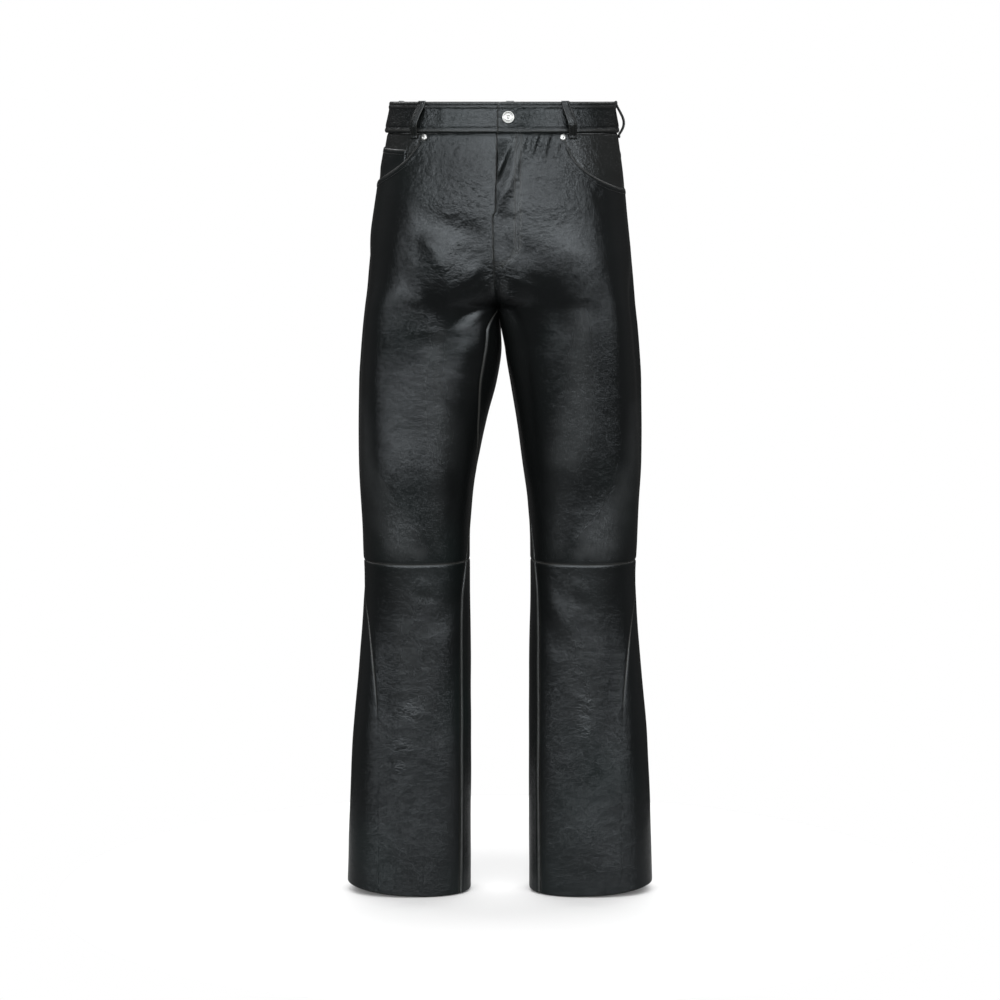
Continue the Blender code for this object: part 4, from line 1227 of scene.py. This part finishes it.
def pocketEdgeRuns(side):
    lineArc, lineZ = mouthLine(side)
    runs = []
    for distance in pocketEdge["stitches"]:
        arc, z = offsetLine(lineArc, lineZ, distance)
        end = arcAt(outSeam(z), z)
        keep = (z < seams["waist"] - 3 * mm) & (arc < end - 1 * mm)
        arc, z = arc[keep], z[keep]
        degrees = degreesOf(arc, z)
        x = formAt(degrees, z, 0, side)[..., 0]
        out = strokeRelief(x, z, frontStrokes[side]) + hillRelief(x, z, frontHills[side]) + ripples(arc, z, 3 + side)
        runs.append(onForm(degrees, z, out + pocketEdge["raise"] - 0.35 * mm, side))
    return runs


def flyRuns():
    runs = []
    for offset in jStitch["lines"]:
        jx, jz = jLine(offset, 60)
        even = np.linspace(0, 1, 160)
        lengths = np.concatenate([[0], np.cumsum(np.hypot(np.diff(jx), np.diff(jz)))])
        jx, jz = np.interp(even * lengths[-1], lengths, jx), np.interp(even * lengths[-1], lengths, jz)
        fly = flyShare(jz)
        fromInner = jx - seams["flyEdge"] * fly
        keep = fromInner > 1.5 * mm
        fromInner, z, fly = fromInner[keep], jz[keep], fly[keep]
        arc = arcAt(innerFront(left, z), z) + fromInner
        degrees = degreesOf(arc, z)
        x = formAt(degrees, z, 0, left)[..., 0]
        out = strokeRelief(x, z, frontStrokes[left]) * smooth(fromInner / (6 * mm))
        out += hillRelief(x, z, frontHills[left]) + ripples(arc, z, 4)
        out += flyLap(fly, fromInner)
        runs.append(onForm(degrees, z, out - 1.0 * mm, left))
    return runs


def bandRuns():
    first = float(degreesAtX(np.array(seams["flyEdge"]), np.array(0.0)))
    runs = []
    for z0 in (-4.9 * mm, -35.0 * mm):
        degrees = np.linspace(first + 2.2, 356, 900)
        z = np.full_like(degrees, z0)
        under = bandUnder(first, degrees)
        arc = arcAt(degrees, -0.02)
        wave = bandWave(arc, z0 / seams["waist"])
        out = band["proud"] - under * (band["thick"] + band["layerGap"]) - 0.25 * mm + wave + 0.3 * ripples(arc, z, 63)
        runs.append(onForm(degrees, z, out, left))
    z = np.linspace(-8 * mm, -35 * mm, 40)
    degrees = degreesOf(arcAt(first, -0.02) + 4.6 * mm + 0 * z, -0.02 + 0 * z)
    runs.append(onForm(degrees, z, band["proud"] + bandProfile(z) - 0.3 * mm, left))
    return runs


def loopRuns(top, bottom, stand):
    runs = []
    for sign in (-1, 1):
        v = np.linspace(0.03, 0.97, 80)
        u = np.full_like(v, sign * (loops["width"] / 2 - 2.2 * mm))
        path = loopPoints(top, bottom, stand, u, v, 0.15 * mm)
        runs.append((path, path - loopPoints(top, bottom, stand, u, v, 3 * mm)))
    for v0 in (0.045, 0.955):
        u = np.linspace(-0.8, 0.8, 16) * loops["width"] / 2
        v = np.full_like(u, v0)
        path = loopPoints(top, bottom, stand, u, v, -0.1 * mm)
        runs.append((path, path - loopPoints(top, bottom, stand, u, v, 3 * mm)))
    return runs


def backPocketRuns(side):
    width, height = backPocket["width"], backPocket["height"]
    runs = []
    for inset in backPocket["edgeStitches"]:
        a, b = inset / width, 1 - inset / height
        u = np.concatenate([np.full(60, a), np.linspace(a, 1 - a, 70), np.full(60, 1 - a)])
        v = np.concatenate([np.linspace(0.02, b, 60), np.full(70, b), np.linspace(b, 0.02, 60)])
        runs.append((u, v))
    for inset in backPocket["topStitches"]:
        u = np.linspace(0.02, 0.98, 80)
        runs.append((u, np.full_like(u, inset / height)))
    made = []
    for u, v in runs:
        degrees, z = pocketSpot(u, v)
        raised = 0.5 * mm * smooth((17 * mm - v * height) / (2 * mm))
        out = backRelief(side, degrees, z) + cloth["thick"] + backPocket["off"] + raised - 0.2 * mm
        made.append(onForm(degrees, z, out, side))
    return made


def yokeRuns(side):
    runs = []
    for distance in yoke["stitches"]:
        degrees = np.linspace(seams["sideDegrees"] + 2, 178.5, 220)
        z = yokeAt(degrees) + distance
        out = ripples(arcAt(degrees, z), z, 23 + side) * 0.6 + 0.6 * mm - 0.25 * mm
        runs.append(onForm(degrees, z, out, side))
    return runs


def coinRuns(deep):
    runs = []
    for distance in coinPocket["stitches"]:
        u = np.linspace(0.02, 0.98, 60)
        degrees = coinPocket["from"] + u * (outSeam(-0.08) - 0.6 - coinPocket["from"])
        z = coinPocket["top"] - coinPocket["slope"] * (1 - u) - distance
        runs.append(onForm(degrees, z, facingBulge(right, degrees, z) - deep + 0.2 * mm, right))
    return runs


# materials


def nodeOf(tree, kind, **inputs):
    made = tree.nodes.new(kind)
    for name, value in inputs.items():
        made.inputs[name.replace("_", " ")].default_value = value
    return made


def mathNode(tree, operation, a, b=None, clamp=False):
    made = tree.nodes.new("ShaderNodeMath")
    made.operation = operation
    made.use_clamp = clamp
    for socket, value in zip(made.inputs, (a, b)):
        if value is None:
            continue
        if isinstance(value, (int, float)):
            socket.default_value = value
        else:
            tree.links.new(value, socket)
    return made.outputs[0]


def mixColour(tree, factor, a, b):
    made = tree.nodes.new("ShaderNodeMix")
    made.data_type = "RGBA"
    for socket, value in ((made.inputs["Factor"], factor), (made.inputs["A"], a), (made.inputs["B"], b)):
        if socket.type == "RGBA" and isinstance(value, tuple):
            socket.default_value = value
        elif isinstance(value, (int, float)):
            socket.default_value = value
        else:
            tree.links.new(value, socket)
    return made.outputs["Result"]


def newMaterial(name):
    made = bpy.data.materials.new(name)
    made.use_nodes = True
    tree = made.node_tree
    shader = tree.nodes["Principled BSDF"]
    coords = tree.nodes.new("ShaderNodeTexCoord").outputs["Object"]
    return made, tree, shader, coords


def noiseNode(tree, coords, scale, detail, rough=0.5, stretch=None):
    if stretch:
        mapping = tree.nodes.new("ShaderNodeMapping")
        mapping.inputs["Scale"].default_value = stretch
        tree.links.new(coords, mapping.inputs["Vector"])
        coords = mapping.outputs["Vector"]
    made = tree.nodes.new("ShaderNodeTexNoise")
    made.inputs["Scale"].default_value = scale
    made.inputs["Detail"].default_value = detail
    made.inputs["Roughness"].default_value = rough
    tree.links.new(coords, made.inputs["Vector"])
    return made.outputs["Fac"]


def edgeNode(tree, coords, scale):
    made = tree.nodes.new("ShaderNodeTexVoronoi")
    made.feature = "DISTANCE_TO_EDGE"
    made.inputs["Scale"].default_value = scale
    tree.links.new(coords, made.inputs["Vector"])
    return made.outputs["Distance"]


def attributeNode(tree, name):
    made = tree.nodes.new("ShaderNodeAttribute")
    made.attribute_name = name
    return made.outputs["Fac"]


def vectorNode(tree, operation, a, b):
    made = tree.nodes.new("ShaderNodeVectorMath")
    made.operation = operation
    tree.links.new(a, made.inputs[0])
    if operation == "SCALE":
        made.inputs["Scale"].default_value = b
    else:
        tree.links.new(b, made.inputs[1])
    return made.outputs["Vector"]


def bumpNode(tree, height, distance, strength, before=None):
    made = tree.nodes.new("ShaderNodeBump")
    made.inputs["Distance"].default_value = distance
    made.inputs["Strength"].default_value = strength
    tree.links.new(height, made.inputs["Height"])
    if before is not None:
        tree.links.new(before, made.inputs["Normal"])
    return made.outputs["Normal"]


leather = {
    "black": (0.0044, 0.0050, 0.0051, 1),
    "blacker": (0.0030, 0.0034, 0.0034, 1),
    "green": (0.0040, 0.0082, 0.0074, 1),
    # lighter grey for worn edges, also used for painted highlight along seam ridges and edges
    "wornAndHighlight": (0.055, 0.055, 0.051, 1),
    "roughness": 0.124,
    "specular": 0.36,
    "tint": (0.92, 1.0, 1.06, 1),
    "grainScale": 950,
    "grainDepth": 0.10 * mm,
    "pebbleScale": 170,
    "pebbleDepth": 2.4 * mm,
    "pebbleCalm": 0.08,
    "mottleScale": 62,
    "mottleDepth": 3.8 * mm,
    # lighter colour for the painted highlight patches
    "pale": (0.019, 0.0205, 0.021, 1),
    "swellScale": 46,
    "swellDepth": 1.1 * mm,
    "crackScale": 170,
    "crackDepth": 6.0 * mm,
    "warpScale": 70,
    "warpReach": 0.012,
}


def makeLeather(name, wornAndHighlight=1.0):
    made, tree, shader, coords = newMaterial(name)
    wearAndHighlight, crease, stood, paintedHighlight = (attributeNode(tree, layer) for layer in ("wearAndHighlight", "crease", "grain", "pale"))
    # colour: uneven dye, a slight green cast in places, lighter lines along seams and edges that are wear together with
    # painted highlight on their ridges, and painted highlight patches
    patches = noiseNode(tree, coords, 9, 4, 0.6)
    cast = noiseNode(tree, coords, 5, 2, 0.5)
    fine = noiseNode(tree, coords, 420, 4, 0.6)
    colour = mixColour(tree, patches, leather["blacker"], leather["black"])
    castMask = mathNode(tree, "MULTIPLY", mathNode(tree, "SUBTRACT", cast, 0.5, True), 2.2, True)
    colour = mixColour(tree, castMask, colour, leather["green"])
    broken = mathNode(tree, "ADD", mathNode(tree, "MULTIPLY", fine, 0.9), 0.45)
    # lighter along seams and edges: edge wear, with painted highlight where the ridges catch the light
    wearAndHighlightMask = mathNode(tree, "MULTIPLY", mathNode(tree, "MULTIPLY", wearAndHighlight, broken), wornAndHighlight, True)
    colour = mixColour(tree, wearAndHighlightMask, colour, leather["wornAndHighlight"])
    # painted highlight patches: a lighter base colour, broken by noise, where the thighs, knees, shins and crotch catch
    # the front light
    uneven = mathNode(tree, "ADD", mathNode(tree, "MULTIPLY", noiseNode(tree, coords, 22, 5, 0.65), 1.6), 0.2)
    highlightMask = mathNode(tree, "MULTIPLY", paintedHighlight, uneven, True)
    colour = mixColour(tree, highlightMask, colour, leather["pale"])
    tree.links.new(colour, shader.inputs["Base Color"])
    # surface: tight grain, flat pebbles, and cracked creases where the leather bends
    grainHeight = mathNode(tree, "MINIMUM", edgeNode(tree, coords, leather["grainScale"]), 0.22)
    pebble = noiseNode(tree, coords, leather["pebbleScale"], 5, 0.62)
    swell = noiseNode(tree, coords, leather["swellScale"], 3, 0.5)
    warp = nodeOf(tree, "ShaderNodeTexNoise", Scale=leather["warpScale"])
    tree.links.new(coords, warp.inputs["Vector"])
    bent = vectorNode(tree, "ADD", coords, vectorNode(tree, "SCALE", warp.outputs["Color"], leather["warpReach"]))
    crackHeight = mathNode(tree, "MINIMUM", edgeNode(tree, bent, leather["crackScale"]), 0.12)
    crackHeight = mathNode(tree, "MULTIPLY", crackHeight, crease)
    normal = bumpNode(tree, swell, leather["swellDepth"], 0.6)
    normal = bumpNode(tree, crackHeight, leather["crackDepth"], 0.8, normal)
    mottled = mathNode(tree, "MULTIPLY", noiseNode(tree, coords, leather["mottleScale"], 4, 0.6), stood)
    normal = bumpNode(tree, mottled, leather["mottleDepth"], 0.8, normal)
    pebbled = mathNode(tree, "MULTIPLY", pebble, mathNode(tree, "ADD", stood, leather["pebbleCalm"]))
    normal = bumpNode(tree, pebbled, leather["pebbleDepth"], 0.8, normal)
    normal = bumpNode(tree, grainHeight, leather["grainDepth"] * 4, 0.6, normal)
    tree.links.new(normal, shader.inputs["Normal"])
    rough = mathNode(tree, "ADD", mathNode(tree, "MULTIPLY", patches, 0.08), leather["roughness"] - 0.04)
    rough = mathNode(tree, "ADD", rough, mathNode(tree, "MULTIPLY", pebble, 0.06))
    rough = mathNode(tree, "ADD", rough, mathNode(tree, "MULTIPLY", wearAndHighlightMask, 0.18), True)
    tree.links.new(rough, shader.inputs["Roughness"])
    shader.inputs["Specular IOR Level"].default_value = leather["specular"]
    shader.inputs["Specular Tint"].default_value = leather["tint"]
    return made


def makeMetal(name, colour, roughness):
    made, tree, shader, coords = newMaterial(name)
    tarnish = noiseNode(tree, coords, 900, 4, 0.6)
    brushed = noiseNode(tree, coords, 2600, 2, 0.5, (1, 1, 0.25))
    dark = tuple(0.55 * c for c in colour[:3]) + (1,)
    tree.links.new(mixColour(tree, mathNode(tree, "MULTIPLY", tarnish, 0.9), dark, colour), shader.inputs["Base Color"])
    rough = mathNode(tree, "ADD", mathNode(tree, "MULTIPLY", tarnish, 0.25), roughness)
    tree.links.new(rough, shader.inputs["Roughness"])
    tree.links.new(bumpNode(tree, brushed, 0.03 * mm, 0.5), shader.inputs["Normal"])
    shader.inputs["Metallic"].default_value = 1
    return made


def makeThread(name, colour):
    made, tree, shader, coords = newMaterial(name)
    strands = tree.nodes.new("ShaderNodeTexWave")
    strands.inputs["Scale"].default_value = 700
    strands.inputs["Distortion"].default_value = 1.5
    tree.links.new(coords, strands.inputs["Vector"])
    dark = tuple(0.5 * c for c in colour[:3]) + (1,)
    tree.links.new(mixColour(tree, strands.outputs["Fac"], dark, colour), shader.inputs["Base Color"])
    tree.links.new(bumpNode(tree, strands.outputs["Fac"], 0.06 * mm, 0.6), shader.inputs["Normal"])
    shader.inputs["Roughness"].default_value = 0.6
    return made


def makeTape(name):
    made, tree, shader, coords = newMaterial(name)
    weave = tree.nodes.new("ShaderNodeTexWave")
    weave.bands_direction = "Z"
    weave.inputs["Scale"].default_value = 420
    cross = tree.nodes.new("ShaderNodeTexWave")
    cross.bands_direction = "X"
    cross.inputs["Scale"].default_value = 420
    tree.links.new(coords, weave.inputs["Vector"])
    tree.links.new(coords, cross.inputs["Vector"])
    woven = mathNode(tree, "MULTIPLY", weave.outputs["Fac"], cross.outputs["Fac"])
    colour = mixColour(tree, woven, (0.006, 0.006, 0.006, 1), (0.02, 0.02, 0.021, 1))
    tree.links.new(colour, shader.inputs["Base Color"])
    tree.links.new(bumpNode(tree, woven, 0.15 * mm, 0.7), shader.inputs["Normal"])
    shader.inputs["Roughness"].default_value = 0.8
    return made


# build

blackLeather = makeLeather("black leather")
bandLeather = makeLeather("black leather, band", 0.85)
silver = makeMetal("silver metal", (0.55, 0.56, 0.55, 1), 0.22)
thread = makeThread("black thread", (0.022, 0.023, 0.023, 1))
tape = makeTape("zip tape")

pieces = {}
underFront = cloth["thick"] + 0.3 * mm
for side in (left, right):
    name = sideNames[side]
    pieces[f"front_upper_{name}"] = makeFrontUpper(side, blackLeather)
    pieces[f"back_upper_{name}"] = makeBackUpper(side, blackLeather)
    pieces[f"yoke_{name}"] = makeYoke(side, blackLeather)
    pieces[f"front_lower_{name}"] = makeLower(side, True, blackLeather)
    pieces[f"back_lower_{name}"] = makeLower(side, False, blackLeather)
    pieces[f"back_pocket_{name}"] = makeBackPocket(side, blackLeather)
    makeRivet(side, silver)
print("panels made")
pieces["pocket_facing_left"] = makeFacing(left, underFront, blackLeather)
pieces["pocket_facing_right"] = makeFacing(right, underFront + cloth["thin"] + 0.3 * mm, blackLeather)
pieces["coin_pocket"] = makeCoinPocket(underFront, blackLeather)
pieces["waistband"] = makeWaistband(bandLeather)
for name, (top, bottom, stand) in loops["places"].items():
    pieces[f"belt_loop_{name}"] = makeLoop(name, top, bottom, stand, bandLeather)
makeButton(silver)
pieces["fly_zip"], teeth = makeZip(tape, silver)
print("band, loops, metal and zip made")

onPiece = {name: [] for name in pieces}
onPiece["fly_zip"].append(teeth)
for side in (left, right):
    name = sideNames[side]
    onPiece[f"front_upper_{name}"].append(stitchPiece(f"stitches_pocket_{name}", pocketEdgeRuns(side), thread))
    onPiece[f"yoke_{name}"].append(stitchPiece(f"stitches_yoke_{name}", yokeRuns(side), thread))
    onPiece[f"back_pocket_{name}"].append(stitchPiece(f"stitches_back_pocket_{name}", backPocketRuns(side), thread))
onPiece["front_upper_left"].append(stitchPiece("stitches_fly", flyRuns(), thread))
onPiece["coin_pocket"].append(stitchPiece("stitches_coin_pocket", coinRuns(underFront), thread))
onPiece["waistband"].append(stitchPiece("stitches_waistband", bandRuns(), thread))
loopStitches = [run for places in loops["places"].values() for run in loopRuns(*places)]
onPiece["waistband"].append(stitchPiece("stitches_belt_loops", loopStitches, thread))
print("stitches made")

# floor, light and camera

studio = {
    "floorZ": -1101 * mm,
    "floorRadius": 0.62,
    "floorSeen": 0.74,
    "floorReflected": 0.22,
    # what the leather reflects: elevation in degrees, radiance
    "front": ((1, 0), (3.5, 6.2), (7, 10.5), (10.5, 9.0), (14, 4.0), (22, 2.0), (60, 1.2), (75, 0)),
    "low": ((-90, 0.03), (-40, 0.04), (-24, 0.06), (-18, 0.075), (-13.5, 0.095), (-9, 0.14), (-4, 0.3), (1, 0.7),
            (3.5, 0)),
    "room": ((-20, 0.05), (22, 0.05), (50, 0.5), (75, 2.0)),
    "behind": ((18, 0), (34, 3.4), (58, 2.0), (75, 0)),
    "beside": ((-30, 0.02), (-20, 0.05), (-4, 0.08), (14, 0.12), (30, 0)),
    "frontHalf": 55,
    "lowHalf": 24,
    "besideHalf": 128,
    "behindHalf": 60,
    "edge": 3,
    "brightest": 12,
}

floorMesh = bmesh.new()
bmesh.ops.create_circle(floorMesh, cap_ends=True, segments=96, radius=studio["floorRadius"],
                        matrix=Matrix.Translation((0, 0, studio["floorZ"])))
floor = finishMesh("floor", floorMesh, 0)
floorMaterial, floorTree, floorShader, _ = newMaterial("pale floor")
floorTones = [(studio[name],) * 3 + (1,) for name in ("floorReflected", "floorSeen")]
floorSeen = floorTree.nodes.new("ShaderNodeLightPath").outputs["Is Camera Ray"]
floorTree.links.new(mixColour(floorTree, floorSeen, *floorTones), floorShader.inputs["Base Color"])
floorShader.inputs["Roughness"].default_value = 0.9
floorShader.inputs["Specular IOR Level"].default_value = 0.1
floor.data.materials.append(floorMaterial)


def ramp(tree, value, low, high):
    made = tree.nodes.new("ShaderNodeMapRange")
    made.interpolation_type = "SMOOTHSTEP"
    made.inputs["From Min"].default_value = low
    made.inputs["From Max"].default_value = high
    tree.links.new(value, made.inputs["Value"])
    return made.outputs["Result"]


def byHeight(tree, height, steps):
    # a radiance for each elevation, from a short table
    made = tree.nodes.new("ShaderNodeValToRGB")
    tree.links.new(mathNode(tree, "MULTIPLY_ADD", height, 1 / 180), made.inputs["Fac"])
    made.inputs["Fac"].links[0].from_node.inputs[2].default_value = 0.5
    stops = made.color_ramp.elements
    while len(stops) < len(steps):
        stops.new(1)
    for stop, (degrees, radiance) in zip(stops, steps):
        stop.position = degrees / 180 + 0.5
        stop.color = (radiance / studio["brightest"],) * 3 + (1,)
    return mathNode(tree, "MULTIPLY", made.outputs["Color"], studio["brightest"])


def makeSky():
    # a dim room with a wide soft light in front of it, its pale floor ahead, and a softer light behind
    world = bpy.data.worlds.new("studio")
    bpy.context.scene.world = world
    world.use_nodes = True
    tree = world.node_tree
    direction = tree.nodes.new("ShaderNodeTexCoord").outputs["Generated"]
    split = tree.nodes.new("ShaderNodeSeparateXYZ")
    tree.links.new(direction, split.inputs[0])
    x, y, z = split.outputs
    toFront = mathNode(tree, "MULTIPLY", y, -1)
    azimuth = mathNode(tree, "MULTIPLY", mathNode(tree, "ARCTAN2", x, toFront), 180 / math.pi)
    sideways = mathNode(tree, "ABSOLUTE", azimuth)
    fromBack = mathNode(tree, "SUBTRACT", 180.0, sideways)
    height = mathNode(tree, "MULTIPLY", mathNode(tree, "ARCSINE", z), 180 / math.pi)
    total = byHeight(tree, height, studio["room"])
    zones = (("front", sideways, "frontHalf"), ("low", sideways, "lowHalf"), ("beside", sideways, "besideHalf"),
             ("behind", fromBack, "behindHalf"))
    for steps, away, half in zones:
        inside = ramp(tree, away, studio[half] + studio["edge"], studio[half] - studio["edge"])
        light = byHeight(tree, height, studio[steps])
        total = mathNode(tree, "ADD", total, mathNode(tree, "MULTIPLY", light, inside))
    seen = tree.nodes.new("ShaderNodeLightPath").outputs["Is Camera Ray"]
    light = mixColour(tree, seen, total, (1, 1, 1, 1))
    shader = tree.nodes["Background"]
    tree.links.new(light, shader.inputs["Color"])
    shader.inputs["Strength"].default_value = 1


makeSky()
bpy.context.scene.view_settings.view_transform = "Standard"

cameraAt = {"distance": 4.566, "aim": -0.55, "lens": 119.1}
lens = bpy.data.cameras.new("camera")
lens.lens = cameraAt["lens"]
lens.sensor_width = 36
camera = bpy.data.objects.new("camera", lens)
bpy.context.scene.collection.objects.link(camera)
camera.location = (0, -cameraAt["distance"], 0)
camera.rotation_euler = (math.pi / 2 + math.atan2(cameraAt["aim"], cameraAt["distance"]), 0, 0)
bpy.context.scene.camera = camera
print("studio made")
